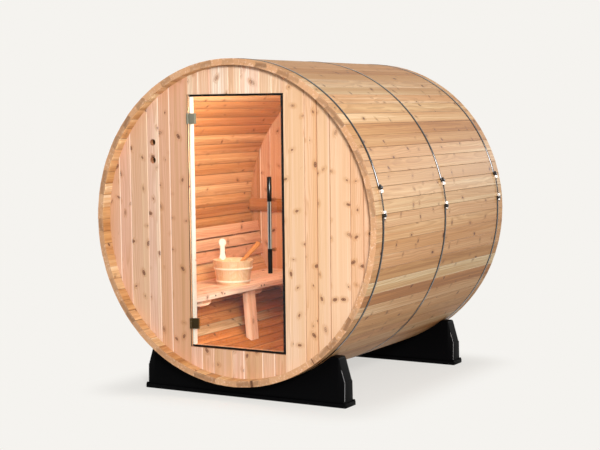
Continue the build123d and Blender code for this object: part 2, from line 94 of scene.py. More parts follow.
# %% The barrel in metres
STAVES = 78
PITCH = 2 * pi / STAVES
RADIUS = face_of("stave_segment_04", HIGH, X)
OUTER = RADIUS * cos(PITCH / 2)
INNER = OUTER - 35 * MM
HALF = face_of("stave_segment_04", HIGH, Y)
WALL_FACE = face_of("back_wall", HIGH, Y)  # outer face of both end walls, from the barrel's middle
CABIN_HALF = face_of("back_wall", LOW, Y)
DOOR_SIDE = face_of("door_lining", HIGH, X)
DOOR_HALF = (face_of("door_lining", HIGH, Z) - face_of("door_lining", LOW, Z)) / 2
print(f"stave face {2 * OUTER * tan(PITCH / 2) / MM:.1f} mm, inner face at {INNER:.4f} m")
print(f"doorway {2 * DOOR_SIDE / MM:.0f} x {2 * DOOR_HALF / MM:.0f} mm")

# %% [markdown]
# ## Colours and nodes
#
# Colours are easiest to choose as sRGB hex values, the way a paint chart gives them, but shaders
# work in linear light. One function turns one into the other. A second one adds a shader node,
# with its settings and its links, so that a material reads from top to bottom like a recipe. Two
# more set the marks of a colour ramp and start a new material.


# %% Helpers for materials
def colour(code, alpha=1.0):
    """An sRGB hex code as linear red, green, blue and alpha."""
    parts = [int(code[i : i + 2], 16) / 255 for i in (1, 3, 5)]
    return [c / 12.92 if c <= 0.04045 else ((c + 0.055) / 1.055) ** 2.4 for c in parts] + [alpha]


def add(tree, kind, inputs=(), **settings):
    """Adds a node and returns it. settings are the node's own properties. inputs are in order, or
    named in a dict, and each is a value, a socket, or a node whose first output is linked."""
    made = tree.nodes.new("ShaderNode" + kind)
    for key, value in settings.items():
        setattr(made, key, value)
    for key, value in inputs.items() if isinstance(inputs, dict) else enumerate(inputs):
        value = value.outputs[0] if isinstance(value, bpy.types.Node) else value
        if isinstance(value, bpy.types.NodeSocket):
            tree.links.new(value, made.inputs[key])
        else:
            made.inputs[key].default_value = value
    return made


def stops(ramp, marks):
    """Sets the marks of a colour ramp: place, sRGB hex code and alpha."""
    elements = ramp.color_ramp.elements
    while len(elements) < len(marks):
        elements.new(1.0)
    for element, (place, code, alpha) in zip(elements, marks):
        element.position, element.color = place, colour(code, alpha)


def fresh(name):
    """A new material with an empty node tree, and that tree."""
    material = bpy.data.materials.new(name)
    material.use_nodes = True
    material.node_tree.nodes.clear()
    return material, material.node_tree


print("a mid grey of #808080 is", round(colour("#808080")[0], 3), "in linear light")

# %% [markdown]
# ## Planed cedar
#
# Western red cedar is planed and left bare. The eye sees three things: boards of different tones,
# from cream sapwood to pinkish and honey-brown heartwood; fine lines of late wood that run along
# the board and arch into flames where the saw cut the rings at a slant; and small dark knots with
# the grain flowing round them. All three come from how a board sits in its log, so each board
# carries its own coordinates, called grain: x along the board, y and z across the log, measured
# from the pith. A second number, tone, is how light the board is, and also its lottery ticket: a
# white noise turns it into three more random numbers.
#
# The knots come first. The face is divided into cells, with one possible knot in each. The cell's
# own random colour decides whether there is one, how large it is, how it is turned, and whether
# it is a tight knot, which is dark all through. The halo is the zone where the grain gives way.


# %% Knots
LEAST_KNOT, HALO = 7.5 * MM, 26 * MM


def add_knots(tree, grain, tone, knot, rim, cells, largest, share):
    """Knots of at most one in a cell. Returns how solid each point's knot is, its colour, the halo
    round it and the way from its middle. cells are knots in a metre along and across the log."""
    shelf = add(tree, "CombineXYZ", {"Z": add(tree, "Math", (tone, 40.0), operation="MULTIPLY")})
    spread = add(tree, "VectorMath", (grain, (*cells, 0.0), shelf), operation="MULTIPLY_ADD")
    cell = add(tree, "TexVoronoi", {"Vector": spread, "Scale": 1.0, "Randomness": 0.9})
    away = add(tree, "VectorMath", (spread, cell.outputs["Position"]), operation="SUBTRACT")
    away = add(tree, "VectorMath", (away, (1 / cells[0], 1 / cells[1], 0.0)), operation="MULTIPLY")
    lot = add(tree, "SeparateColor", {"Color": cell.outputs["Color"]})
    turn = add(tree, "Math", (lot.outputs[2], 9.0), operation="MULTIPLY")
    tilted = add(tree, "VectorRotate", {"Vector": away, "Angle": turn}, rotation_type="Z_AXIS")
    oval = add(tree, "VectorMath", (tilted, (0.78, 1.3, 0.0)), operation="MULTIPLY")
    round_reach = add(tree, "VectorMath", (oval,), operation="LENGTH").outputs["Value"]
    ragged = add(tree, "TexNoise", {"Vector": grain, "Scale": 90.0, "Detail": 4.0, "Roughness": 0.7})
    reach = add(tree, "Math", (ragged, 9 * MM, round_reach), operation="MULTIPLY_ADD")
    size = add(tree, "MapRange", {"Value": lot, "From Min": 0.15,
                                  "To Min": LEAST_KNOT, "To Max": largest})
    core = add(tree, "Math", (reach, size), operation="SUBTRACT")
    has = add(tree, "Math", (lot.outputs[1], 1 - share), operation="GREATER_THAN")
    tight = add(tree, "Math", (lot.outputs[2], 0.65), operation="LESS_THAN")
    spot = add(tree, "MapRange", {"Value": core, "From Min": 1.5 * MM, "From Max": -1 * MM})
    spot = add(tree, "Math", (spot, has), operation="MULTIPLY")
    halo = add(tree, "MapRange", {"Value": core, "From Min": HALO, "From Max": 0.0},
               interpolation_type="SMOOTHERSTEP")
    halo = add(tree, "Math", (halo, has), operation="MULTIPLY")
    branch = add(tree, "ValToRGB", (add(tree, "Math", (reach, size), operation="DIVIDE"),))
    stops(branch, ((0.40, rim, 1.0), (0.48, rim, 0.85), (0.56, knot, 0.25), (0.82, knot, 0.30),
                   (0.92, rim, 0.75), (1.0, rim, 0.8)))
    solid = add(tree, "Math", (tight, 0.55, branch.outputs["Alpha"]), operation="MULTIPLY_ADD")
    solid = add(tree, "Math", (spot, solid), operation="MULTIPLY")
    return solid, branch, halo, away


print(f"the smallest knot reaches {LEAST_KNOT / MM} mm from its middle, its halo {HALO / MM:.0f} mm more")

# %% [markdown]
# ## Year rings
#
# The rings are the distance from the pith, bent by the tree's own growth and round each knot: the
# grain parts in front of a knot and closes behind it, as water does round a stone. The fraction of
# distance over ring width is a saw-tooth, and a ramp makes it a line of late wood with a soft start
# and a sharp end. Real rings are 1 to 3 mm apart, too fine to see from a few steps away, so they
# are drawn at 6 mm.

# %% Late wood
RING = 6 * MM


def add_rings(tree, grain, halo, away):
    """Returns the grain as it flows round the knots, and the lines of late wood in it."""
    push = add(tree, "Math", (halo, -0.62), operation="MULTIPLY")
    push = add(tree, "VectorMath", {0: away, "Scale": push}, operation="SCALE")
    flow = add(tree, "VectorMath", (push, (0.0, 1.0, 0.0), grain), operation="MULTIPLY_ADD")
    drift = add(tree, "VectorMath", (flow, (1.3, 9.0, 9.0)), operation="MULTIPLY")
    bend = add(tree, "TexNoise", {"Vector": drift, "Scale": 1.0, "Detail": 3.0})
    log = add(tree, "SeparateXYZ", (flow,))
    section = add(tree, "CombineXYZ", {"X": log.outputs["Y"], "Y": log.outputs["Z"]})
    radius = add(tree, "VectorMath", (section,), operation="LENGTH").outputs["Value"]
    growth = add(tree, "Math", (bend, 42 * MM, radius), operation="MULTIPLY_ADD")
    growth = add(tree, "Math", (halo, 5 * MM, growth), operation="MULTIPLY_ADD")
    year = add(tree, "Math", (growth, 1 / RING), operation="MULTIPLY")
    late_wood = add(tree, "ValToRGB", (add(tree, "Math", (year,), operation="FRACT"),))
    stops(late_wood, ((0.2, "#000000", 1), (0.85, "#FFFFFF", 1), (1.0, "#000000", 1)))
    return flow, late_wood


print(f"rings are drawn {RING / MM:.0f} mm apart")

# %% [markdown]
# ## The tone of a board
#
# Every board starts from a ramp of its timber's tones, from dark to light. Its own tone says where
# on the ramp it is. Streaks along the grain and a wide stripe of sapwood move it up and down from
# there, so a board is never one flat colour. Wood fibres are far finer. They only make the planed
# face a little uneven, and they are drawn much coarser than they are, so that this shows at all.


# %% Streaks, sapwood and fibres
FIBRES = 650.0  # in a metre across the grain


def add_tones(tree, flow, tone, tones, streaks, sap):
    """Returns the board's colour, its streaks and its fibres. streaks are the swing of the streaks
    and how many there are in a metre across, sap is the swing of the sapwood."""
    patterns = []
    for along, across, facts in (  # cells in a metre along the grain and across it
        (0.6, streaks[1], {"Detail": 5.0, "Roughness": 0.7}),
        (14.0, FIBRES, {"Detail": 2.0}),
        (0.5, 15.0, {"Detail": 1.0}),
    ):
        spread = add(tree, "VectorMath", (flow, (along, across, across)), operation="MULTIPLY")
        patterns.append(add(tree, "TexNoise", {"Vector": spread, "Scale": 1.0, **facts}))
    streak, fibre, sapwood = patterns
    shade = add(tree, "Math", (tone, 0.7, 0.15), operation="MULTIPLY_ADD")
    for pattern, swing in ((streak, streaks[0]), (sapwood, sap)):
        shade = add(tree, "Math", (shade, -swing / 2), operation="ADD")
        shade = add(tree, "Math", (pattern, swing, shade), operation="MULTIPLY_ADD")
    board = add(tree, "ValToRGB", (shade,))
    stops(board, [(index / (len(tones) - 1), code, 1) for index, code in enumerate(tones)])
    return board, streak, fibre


print(f"fibres are drawn {1 / FIBRES / MM:.1f} mm apart")

# %% [markdown]
# ## From the board to its finish
#
# The colours are laid over each other in this order: tints of single boards, late wood, the glow
# round a knot, a painted warm light on the faces indoors, which stands for the light thrown from
# board to board, the boards underfoot and below the bench, worn and darkened with painted shade, the
# sawn ends, the knots themselves, and last the joints: dirt and painted shade where their colour is
# dark, and a painted highlight where it is light. The number called place says which side a face
# belongs to: outdoors, indoors, a sawn end, or a board underfoot or below the bench. Planed cedar is
# matt. The lamp indoors is close and would make it glitter, so the faces indoors get less sheen than
# those outdoors, and the worn ones least.


# %% Cedar, from the log's rings to the planed face
# the last place marks boards underfoot and below the bench: worn, and darkened with painted shade
OUTDOORS, INDOORS, SAWN_END, WORN_AND_SHADED = range(4)


def cedar(name, tones, late, knot, rim, groove, end, indoors="#FADCBC", painted_warm_light=0.0, grooved=0.45,
          knot_cells=(3.4, 11.0), knot_size=15 * MM, knots=0.58, streaks=(1.5, 42.0), sap=1.3):
    """Bare planed wood. tones are the board colours from dark to light, late the lines of the
    rings, knot and rim the knots, groove the colour in the joints, which is dirt and painted shade
    where it is dark and a painted highlight where it is light, end the sawn ends, indoors the
    painted warm light on the faces inside, for the light thrown from board to board, and the
    number after it how strongly those are tinted. grooved is how strongly the joints take the
    groove colour. knot_cells are the cells for knots in a metre along and across, knot_size the
    reach of the largest knot, knots the share of cells that have one, streaks the swing and
    fineness of streaks, sap the swing of sapwood."""
    material, tree = fresh(name)
    grain = add(tree, "Attribute", attribute_name="grain").outputs["Vector"]
    tone, place, seam = (add(tree, "Attribute", attribute_name=key).outputs["Fac"]
                         for key in ("tone", "place", "seam"))
    indoor, sawn, worn_and_shaded = (add(tree, "Math", (place, which, 0.5), operation="COMPARE")
                          for which in (INDOORS, SAWN_END, WORN_AND_SHADED))
    solid, branch, halo, away = add_knots(tree, grain, tone, knot, rim, knot_cells, knot_size, knots)
    flow, late_wood = add_rings(tree, grain, halo, away)
    board, streak, fibre = add_tones(tree, flow, tone, tones, streaks, sap)
    # The saw leaves rough spots on an end. They are drawn 12 mm wide, which is coarser than real.
    saw_marks = add(tree, "TexNoise", {"Vector": grain, "Scale": 80.0, "Detail": 4.0, "Roughness": 0.6})
    chips = add(tree, "MapRange", {"Value": saw_marks, "From Min": 0.56, "From Max": 0.64, "To Max": 0.5})
    lottery = add(tree, "TexWhiteNoise", {"W": tone}, noise_dimensions="1D")
    draw = add(tree, "SeparateColor", {"Color": lottery.outputs["Color"]})
    # the share of the groove colour in the joints, larger indoors and on worn boards: dirt and painted shade where
    # that colour is dark, a painted highlight where it is light
    joint_dirt_and_painted_light = add(tree, "Math", (draw, 1.6 * grooved, 0.2 * grooved), operation="MULTIPLY_ADD")
    for mask, more in ((sawn, -0.7 * grooved), (indoor, 0.45), (worn_and_shaded, 0.5)):
        joint_dirt_and_painted_light = add(tree, "Math", (mask, more, joint_dirt_and_painted_light), operation="MULTIPLY_ADD")
    lines = add(tree, "Math", (worn_and_shaded, 0.3, 0.34), operation="MULTIPLY_ADD")
    marks = add(tree, "Math", (saw_marks, 1.2, 0.22), operation="MULTIPLY_ADD")
    paint = board
    for blend, over, mask, share in (
        ("MULTIPLY", "#FFEDE6", draw.outputs[1], 0.7),
        ("MULTIPLY", "#F6F1DC", draw.outputs[2], 0.7),
        ("MIX", late, late_wood, lines),
        ("MIX", late, halo, 0.36),
        # painted warm light indoors: the warm light thrown from board to board, stronger on some boards
        ("MULTIPLY", indoors, indoor, painted_warm_light),
        ("MULTIPLY", "#EEB890", indoor, add(tree, "Math", (draw, 0.8 * painted_warm_light), operation="MULTIPLY")),
        # boards underfoot and below the bench: worn, and darkened with painted shade
        ("MULTIPLY", "#ECC8A0", worn_and_shaded, 1.0),
        ("MIX", end, sawn, marks),
        ("MIX", "#F4D2B4", sawn, chips),
        ("MIX", branch.outputs["Color"], solid, 1.0),
        # the joints: dirt and painted shade where the groove colour is dark, a painted highlight where it is light
        ("MIX", groove, seam, joint_dirt_and_painted_light),
    ):
        over = colour(over) if isinstance(over, str) else over
        amount = add(tree, "Math", (mask, share), operation="MULTIPLY")
        paint = add(tree, "MixRGB", (amount, paint, over), blend_type=blend, use_clamp=True)

    relief = add(tree, "Math", (saw_marks, sawn, fibre), operation="MULTIPLY_ADD")
    relief = add(tree, "Math", (late_wood, 0.5, relief), operation="MULTIPLY_ADD")
    bump = add(tree, "Bump", {"Height": relief, "Strength": 0.25, "Distance": 0.4 * MM})
    rough = add(tree, "Math", (streak, 0.16, 0.50), operation="MULTIPLY_ADD")
    rough = add(tree, "Math", (worn_and_shaded, 0.35, rough), operation="MULTIPLY_ADD")
    sheen = add(tree, "Math", (indoor, -0.25, 0.5), operation="MULTIPLY_ADD")
    sheen = add(tree, "Math", (worn_and_shaded, -0.45, sheen), operation="MULTIPLY_ADD")
    skin = add(tree, "BsdfPrincipled", {"Base Color": paint, "Roughness": rough, "Normal": bump, "IOR": 1.5,
                                        "Specular IOR Level": sheen})
    add(tree, "OutputMaterial", (skin,))
    return material


print("places: outdoors", OUTDOORS, "indoors", INDOORS, "sawn end", SAWN_END, "underfoot", WORN_AND_SHADED)

# %% [markdown]
# ## Four kinds of cedar
#
# The staves are the most golden boards. The wall boards on the right of the door are honey-coloured,
# the others are paler and pinker, and the bench is the pinkest wood of all. Indoors the light has
# been thrown from board to board and is warm, so staves and walls are tinted towards orange there:
# a painted warm light. The joints of the pale wall boards get a light colour, a painted highlight
# where the V-grooves catch the lamp; those of the staves and honey boards a dark one, dirt and
# painted shade.

# %% Staves, wall boards and bench
STAVE_TONES = ["#AC7846", "#C8945F", "#D4A672", "#DAAE80", "#E4C092", "#F8E0BC"]
WALL_TONES = ["#B28860", "#CCA47C", "#DAB092", "#E0B8A2", "#E8CAAE", "#F6E8D8"]
HONEY_TONES = ["#C8A078", "#DCB48C", "#E6C29E", "#EACAAE", "#F2D8C0", "#FAECDC"]
BENCH_TONES = ["#CA9674", "#E8B89A", "#F4CEB6", "#FCE4D4"]
stave_cedar = cedar(
    "cedar_staves_planed", STAVE_TONES, late="#A06A3C", knot="#74442A", rim="#42261A", groove="#5E3C20",
    end="#CC9A72", painted_warm_light=0.36, grooved=0.6, streaks=(1.5, 60.0), sap=1.0, knots=0.76, knot_cells=(4.0, 11.0),
)
wall_cedar = cedar(
    # its light groove colour is a painted highlight: the light caught by the V-grooves
    "cedar_wall_boards_planed", WALL_TONES, late="#B4784A", knot="#8C5E44", rim="#643F2C", groove="#FFF0DE",
    end="#A8683A", painted_warm_light=0.38, grooved=0.5, streaks=(0.9, 75.0), sap=0.7, knots=0.78,
    knot_cells=(5.4, 12.0), knot_size=18 * MM,
)
honey_cedar = cedar(
    # its dark groove colour is dirt and painted shade in the joints
    "cedar_wall_boards_honey", HONEY_TONES, late="#B8783E", knot="#8C5E40", rim="#643E2A", groove="#925630",
    end="#A8683A", painted_warm_light=0.38, grooved=0.75, streaks=(0.9, 75.0), sap=0.9, knots=0.78,
    knot_cells=(5.4, 12.0), knot_size=17 * MM,
)
bench_cedar = cedar(
    "cedar_bench_planed", BENCH_TONES, late="#A8643A", knot="#7A4A2E", rim="#4E2C1A", groove="#7A4424",
    end="#B8744A", knots=0.7,
)
for timber in (stave_cedar, wall_cedar, honey_cedar, bench_cedar):
    print(timber.name, "has", len(timber.node_tree.nodes), "nodes")

# %% [markdown]
# ## A pile of parts
#
# A sauna has well over a hundred boards. Each is a closed solid of its own, but like boards are kept
# in one mesh, as a maker keeps them in one pile. The pile also remembers for each board where it
# came from in its log, how light it is, and which faces lie inside the cabin or are sawn ends.
# Every part is lofted: rings of points are set out one after another and skinned, which is how a
# boat builder goes from frames to planking. Metal and rubber parts are made in the same way.


# %% Skinned rings
UPRIGHT = ((0, 0, 1), (1, 0, 0), (0, 1, 0))  # along, across and through a board that stands up


class Loft:
    """Parts of one kind, collected into one mesh with their grain. slot is the next part's
    material."""

    def __init__(self):
        self.points, self.faces = [], []
        self.grain, self.seam = [], []
        self.tone, self.place, self.slots = [], [], []
        self.slot = 0

    def log(self):
        """Where the next board sits in its log: metres along the trunk and from the pith."""
        return Vector((chance.uniform(0, 60), chance.uniform(-0.05, 0.05), chance.uniform(0.03, 0.16)))

    def loft(self, rings, axes=UPRIGHT, seams=None, places=OUTDOORS, tone=None, ends=SAWN_END,
             loop=False, inside=None):
        """A part skinned through rings of points. axes point along, across and through a board.
        seams gives each ring point's share of groove, places each side face's side of the board,
        ends that of the end faces, and inside the rows of faces for which places holds. A loop has
        no ends: its last ring joins the first."""
        axes = [Vector(way) for way in axes]
        tone = chance.random() if tone is None else tone
        log = self.log()
        count, rows, first = len(rings[0]), len(rings), len(self.points)
        places = [places] * count if isinstance(places, int) else places
        corner = Vector(rings[0][0])
        for ring in rings:
            for index, point in enumerate(ring):
                step = Vector(point) - corner
                self.points.append(tuple(point))
                self.grain.append([step.dot(way) + far for way, far in zip(axes, log)])
                self.seam.append(seams[index] if seams else 0.0)
        for row in range(rows if loop else rows - 1):
            low, high = first + row * count, first + (row + 1) % rows * count
            for k in range(count):
                following = (k + 1) % count
                self.faces.append((low + k, low + following, high + following, high + k))
                self.place.append(places[k] if inside is None or row in inside else OUTDOORS)
        if not loop:
            last = first + (rows - 1) * count
            self.faces.append(tuple(first + k for k in reversed(range(count))))
            self.faces.append(tuple(last + k for k in range(count)))
            self.place += [ends, ends]
        self.tone += [tone] * (len(self.faces) - len(self.tone))
        self.slots += [self.slot] * (len(self.faces) - len(self.slots))


print("along, across and through an upright board:", UPRIGHT)

# %% [markdown]
# ## From points to an object
#
# The mesh gets its points and faces in one go. Grain and seam belong to the points, tone and place
# to the faces: Blender keeps such extra numbers as attributes, and a material can read them. Faces
# that meet at a small angle are shaded as one round surface, so a turned part looks smooth and the
# edge of a board stays crisp.

# %% Meshes with attributes
SMOOTH_BELOW = radians(38)  # faces that meet at a smaller angle look like one surface


class Stock(Loft):
    """Lofted parts that can be made into one object."""

    def build(self, name, materials, stands_for=(), body="cabin"):
        """Makes the object, gives it its materials and sets it on its body."""
        mesh = bpy.data.meshes.new(name)
        mesh.from_pydata(self.points, [], self.faces)
        for key, values, kind, domain in (
            ("grain", self.grain, "FLOAT_VECTOR", "POINT"),
            ("seam", self.seam, "FLOAT", "POINT"),
            ("tone", self.tone, "FLOAT", "FACE"),
            ("place", self.place, "FLOAT", "FACE"),
        ):
            layer = mesh.attributes.new(key, kind, domain)
            field = "vector" if kind == "FLOAT_VECTOR" else "value"
            layer.data.foreach_set(field, np.array(values, np.float32).ravel())
        for material in materials if isinstance(materials, list) else [materials]:
            mesh.materials.append(material)
        mesh.polygons.foreach_set("material_index", self.slots)
        shell = bmesh.new()
        shell.from_mesh(mesh)
        bmesh.ops.recalc_face_normals(shell, faces=shell.faces)
        shell.to_mesh(mesh)
        shell.free()
        mesh.polygons.foreach_set("use_smooth", [True] * len(mesh.polygons))
        mesh.set_sharp_from_angle(angle=SMOOTH_BELOW)
        piece = bpy.data.objects.new(name, mesh)
        bpy.context.scene.collection.objects.link(piece)
        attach(piece, body)
        if stands_for:
            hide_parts(*stands_for)
        return piece


print("edges sharper than", round(SMOOTH_BELOW / radians(1)), "degrees stay crisp")

# %% [markdown]
# ## A rounded rectangle
#
# Hardly anything in a workshop has a knife-sharp edge, and the narrow round on an edge is what
# catches the light. So most outlines start from a rectangle with quarter circles as its corners.


# %% Rounded outlines
def rounded(width, height, radius, steps=3):
    """The outline of a rectangle with rounded corners, as pairs measured from its middle."""
    outline = []
    for corner, (sx, sy) in enumerate(((1, 1), (-1, 1), (-1, -1), (1, -1))):
        for step in range(steps + 1):
            turn = (corner + step / steps) * pi / 2
            x, y = sx * (width / 2 - radius), sy * (height / 2 - radius)
            outline.append((x + radius * cos(turn), y + radius * sin(turn)))
    return outline


print("a rounded rectangle has", len(rounded(2, 1, 0.1)), "points")

# %% [markdown]
# ## A workshop's shapes
#
# Nearly every part is one of three shapes. A lathe turns a round ring, whose radius changes along
# the axis. A plank has the same rounded rectangle at both ends. A block has its edges eased on all
# sides, which takes a few rings close together where it starts and ends.


# %% Turned and sawn parts
class Pile(Stock):
    """Stock with a lathe and a saw."""

    def turned(self, start, axis, profile, sides=32, **facts):
        """A lathe part. profile lists (distance along the axis, radius)."""
        axis = Vector(axis).normalized()
        side = axis.orthogonal().normalized()
        other = axis.cross(side)
        turns = [2 * pi * k / sides for k in range(sides)]
        spokes = [side * cos(turn) + other * sin(turn) for turn in turns]
        rings = [[Vector(start) + axis * far + spoke * radius for spoke in spokes]
                 for far, radius in profile]
        self.loft(rings, (axis, side, other), **facts)

    def plank(self, start, end, through, width, thick, radius, cuts=(None, None), **facts):
        """A sawn board between the middles of its two ends. cuts are functions that trim them."""
        start, end, through = Vector(start), Vector(end), Vector(through).normalized()
        along = (end - start).normalized()
        across = through.cross(along)
        rings = []
        for point, cut in zip((start, end), cuts):
            ring = [point + across * u + through * v for u, v in rounded(width, thick, radius)]
            rings.append([cut(p, along) for p in ring] if cut else ring)
        self.loft(rings, (along, across, through), places=INDOORS, **facts)

    def block(self, low, high, radius, axis=1, **facts):
        """A solid block with rounded edges, lofted along one axis."""
        low, high = Vector(low), Vector(high)
        u, v = [a for a in range(3) if a != axis]
        width, height = high[u] - low[u], high[v] - low[v]
        rings = []
        for side, inwards, order in ((low[axis], 1, range(4)), (high[axis], -1, reversed(range(4)))):
            for turn in (step * pi / 6 for step in order):
                inset = radius * (1 - sin(turn))
                depth = radius * (1 - cos(turn))
                ring = []
                for a, b in rounded(width - 2 * inset, height - 2 * inset, radius * 1.3 - inset):
                    point = (low + high) / 2
                    point[u] += a
                    point[v] += b
                    point[axis] = side + inwards * depth
                    ring.append(point)
                rings.append(ring)
        self.loft(rings, **facts)


print("shapes:", [shape for shape in vars(Pile) if not shape.startswith("_")])

# %% [markdown]
# ## The section of a stave
#
# Barrel staves are milled with a bead on one edge and a cove on the other, so that flat boards can
# close a round wall without gaps. The joint is hidden, except at the sawn ends, where the beads
# show as small scallops. The section has that profile and a fine chamfer along the four edges.


# %% One stave's outline
def stave_section():
    """The outline as pairs: the offset across the stave and the distance from the axis. With it
    come each point's share of the joint's shadow and each side's place, outdoors or indoors."""
    chamfer, gap = 1.4 * MM, 0.25 * MM
    bead, bead_reach = 17 * MM, 12.5 * MM
    rows = 9

    def half(level):
        """Half the stave's width at a distance from the axis."""
        return level * tan(PITCH / 2) - gap

    side = []
    for step in range(rows):
        level = OUTER - chamfer - (OUTER - INNER - 2 * chamfer) * step / (rows - 1)
        off = level - (OUTER + INNER) / 2
        on_bead = abs(off) < bead_reach
        bulge = sqrt(bead**2 - off**2) - sqrt(bead**2 - bead_reach**2) if on_bead else 0.0
        side.append((level, bulge))
    outline = [(-half(OUTER) + chamfer, OUTER), (half(OUTER) - chamfer, OUTER)]
    outline += [(half(level) + bulge, level) for level, bulge in side]
    outline += [(half(INNER) - 1.8 * chamfer, INNER), (-half(INNER) + 1.8 * chamfer, INNER)]
    outline += [(-half(level) + bulge, level) for level, bulge in reversed(side)]
    seams = ([0, 0] + [1] * rows) * 2
    places = [OUTDOORS] * 6 + [INDOORS] * 11 + [OUTDOORS] * 5
    return outline, seams, places


section, stave_seams, stave_places = stave_section()
print("a stave's section has", len(section), "points")

# %% [markdown]
# ## The staves
#
# Each stave has a groove across its inner face near both ends, which a cooper calls the croze: it
# takes the end walls. The ends are cut a hair out of line. No two boards have the same tone, and
# a few stand out: pale ones scattered over the barrel, a dark group on the left, and the boards
# underfoot and below the bench, darkened by water and dust and with painted shade, with one paler
# board among them.

# %% Seventy-eight staves in thirteen sections
GROUP = 6
FIRST = -2  # the first section starts two staves left of the topmost one
CROZE = 10 * MM
PALE_STAVES = {54, 60, 65, 70, 71, 73, 7, 8, 11, 14, 17, 18, 20, 24, 26}
DARK_STAVES = {5, 57, 58, 59}
LONE_PALE = 47
# staves underfoot and below the bench: worn, and darkened with painted shade
WORN_AND_SHADED_STAVES = set(range(30, 51)) - {LONE_PALE}
TONES_OF = ((PALE_STAVES, (0.85, 1.0)), (DARK_STAVES, (0.0, 0.3)), (WORN_AND_SHADED_STAVES, (0.0, 0.85)))
inner_side = INNER + 2.5 * MM
for group in range(STAVES // GROUP):
    pile = Pile()
    for number in range(GROUP):
        index = (group * GROUP + FIRST + number) % STAVES
        angle = index * PITCH
        across = Vector((cos(angle), 0, -sin(angle)))
        out = Vector((sin(angle), 0, cos(angle)))
        front = -HALF + chance.uniform(0, 2.5) * MM
        back = HALF - chance.uniform(0, 2.5) * MM
        rings = []
        for y, cut in (
            (front, 0), (-WALL_FACE, 0), (-WALL_FACE, 1), (-CABIN_HALF, 1), (-CABIN_HALF, 0),
            (CABIN_HALF, 0), (CABIN_HALF, 1), (WALL_FACE, 1), (WALL_FACE, 0), (back, 0),
        ):
            ring = []
            for offset, level in section:
                depth = level + CROZE if cut and level < inner_side else level
                ring.append(Vector((0, y, AXIS)) + across * offset + out * depth)
            rings.append(ring)
        limits = (0.1, 0.7)
        for staves, tones in TONES_OF:
            limits = tones if index in staves else limits
        light = 0.95 if index == LONE_PALE else chance.uniform(*limits)
        # the worn staves get a place of their own, for wear and painted shade
        inner_face_place = WORN_AND_SHADED if index in WORN_AND_SHADED_STAVES else INDOORS
        places = [inner_face_place if place == INDOORS else place for place in stave_places]
        pile.loft(rings, ((0, 1, 0), across, out), stave_seams, places, light, inside=range(1, 8))
    pile.build(f"staves_{group + 1:02d}", stave_cedar, [f"stave_segment_{group + 1:02d}"])
print(STAVES, "staves,", len(WORN_AND_SHADED_STAVES), "of them worn")

# %% [markdown]
# ## A wall board
#
# Both ends are closed with upright boards of two widths, with a V-groove along every joint. The
# groove is a chamfer on each neighbour. The board ends follow the barrel and stand in the croze, so
# each face is divided into narrow strips that let its end be round.

# %% Boards for the walls
NARROW, WIDE = 78 * MM, 124 * MM
SEAMS = [NARROW / 2]
for width in (WIDE, NARROW, NARROW, WIDE, NARROW, NARROW, WIDE, NARROW):
    SEAMS.append(round(SEAMS[-1] + width, 5))
WALL_REACH = INNER + 8.5 * MM
GROOVE, PLAIN = 4 * MM, 1 * MM


def wall_section(x0, x1):
    """A front wall board's outline seen from above, as (x, y, share of groove). It is grooved on
    both faces except beside the doorway."""
    strips = max(2, ceil((x1 - x0) / (16 * MM)))
    y0, y1, gap = -WALL_FACE, -CABIN_HALF, 0.4 * MM
    v0, v1 = (PLAIN if abs(abs(x) - DOOR_SIDE) < MM else GROOVE for x in (x0, x1))
    x0, x1 = x0 + gap, x1 - gap
    face = [x0 + v0 + (x1 - x0 - v0 - v1) * k / strips for k in range(strips + 1)]
    left, right = float(v0 == GROOVE), float(v1 == GROOVE)
    outer = [(x0, y0 + v0, left)] + [(x, y0, 0) for x in face] + [(x1, y0 + v1, right)]
    inner = [(x1, y1 - v1, right)] + [(x, y1, 0) for x in reversed(face)] + [(x0, y1 - v0, left)]
    return outer + inner


def upright(pile, x0, x1, low, high, light, back=False):
    """A wall board between two heights over the axis. None stands for the barrel's own curve."""
    outline = wall_section(x0, x1)
    turn = -1 if back else 1
    bottom, top = [], []
    for x, y, _ in outline:
        curve = sqrt(max(WALL_REACH**2 - x**2, 0.0))
        bottom.append((x, y * turn, AXIS + (-curve if low is None else low)))
        top.append((x, y * turn, AXIS + (curve if high is None else high)))
    half = len(outline) // 2
    places = [OUTDOORS] * half + [INDOORS] * half
    pile.loft([bottom, top], UPRIGHT, [share for _, _, share in outline], places, light)


print("seams between wall boards, from the middle:", SEAMS)

# %% [markdown]
# ## The end walls
#
# The front wall is cut for the door, so it comes in four groups of boards, each with its own range
# of tones. One narrow board on the left is left out here, because it has two vent holes.

# %% Front and back wall
wall_edge = WALL_REACH - 1 * MM
VENT_BOARD = (-SEAMS[6], -SEAMS[5])


def wall_run(start, end):
    """Board edges from start to end, broken at the seams between them."""
    least = 6 * MM
    cuts = sorted(s for s in SEAMS + [-s for s in SEAMS] if start + least < s < end - least)
    edges = [start] + cuts + [end]
    return list(zip(edges, edges[1:]))


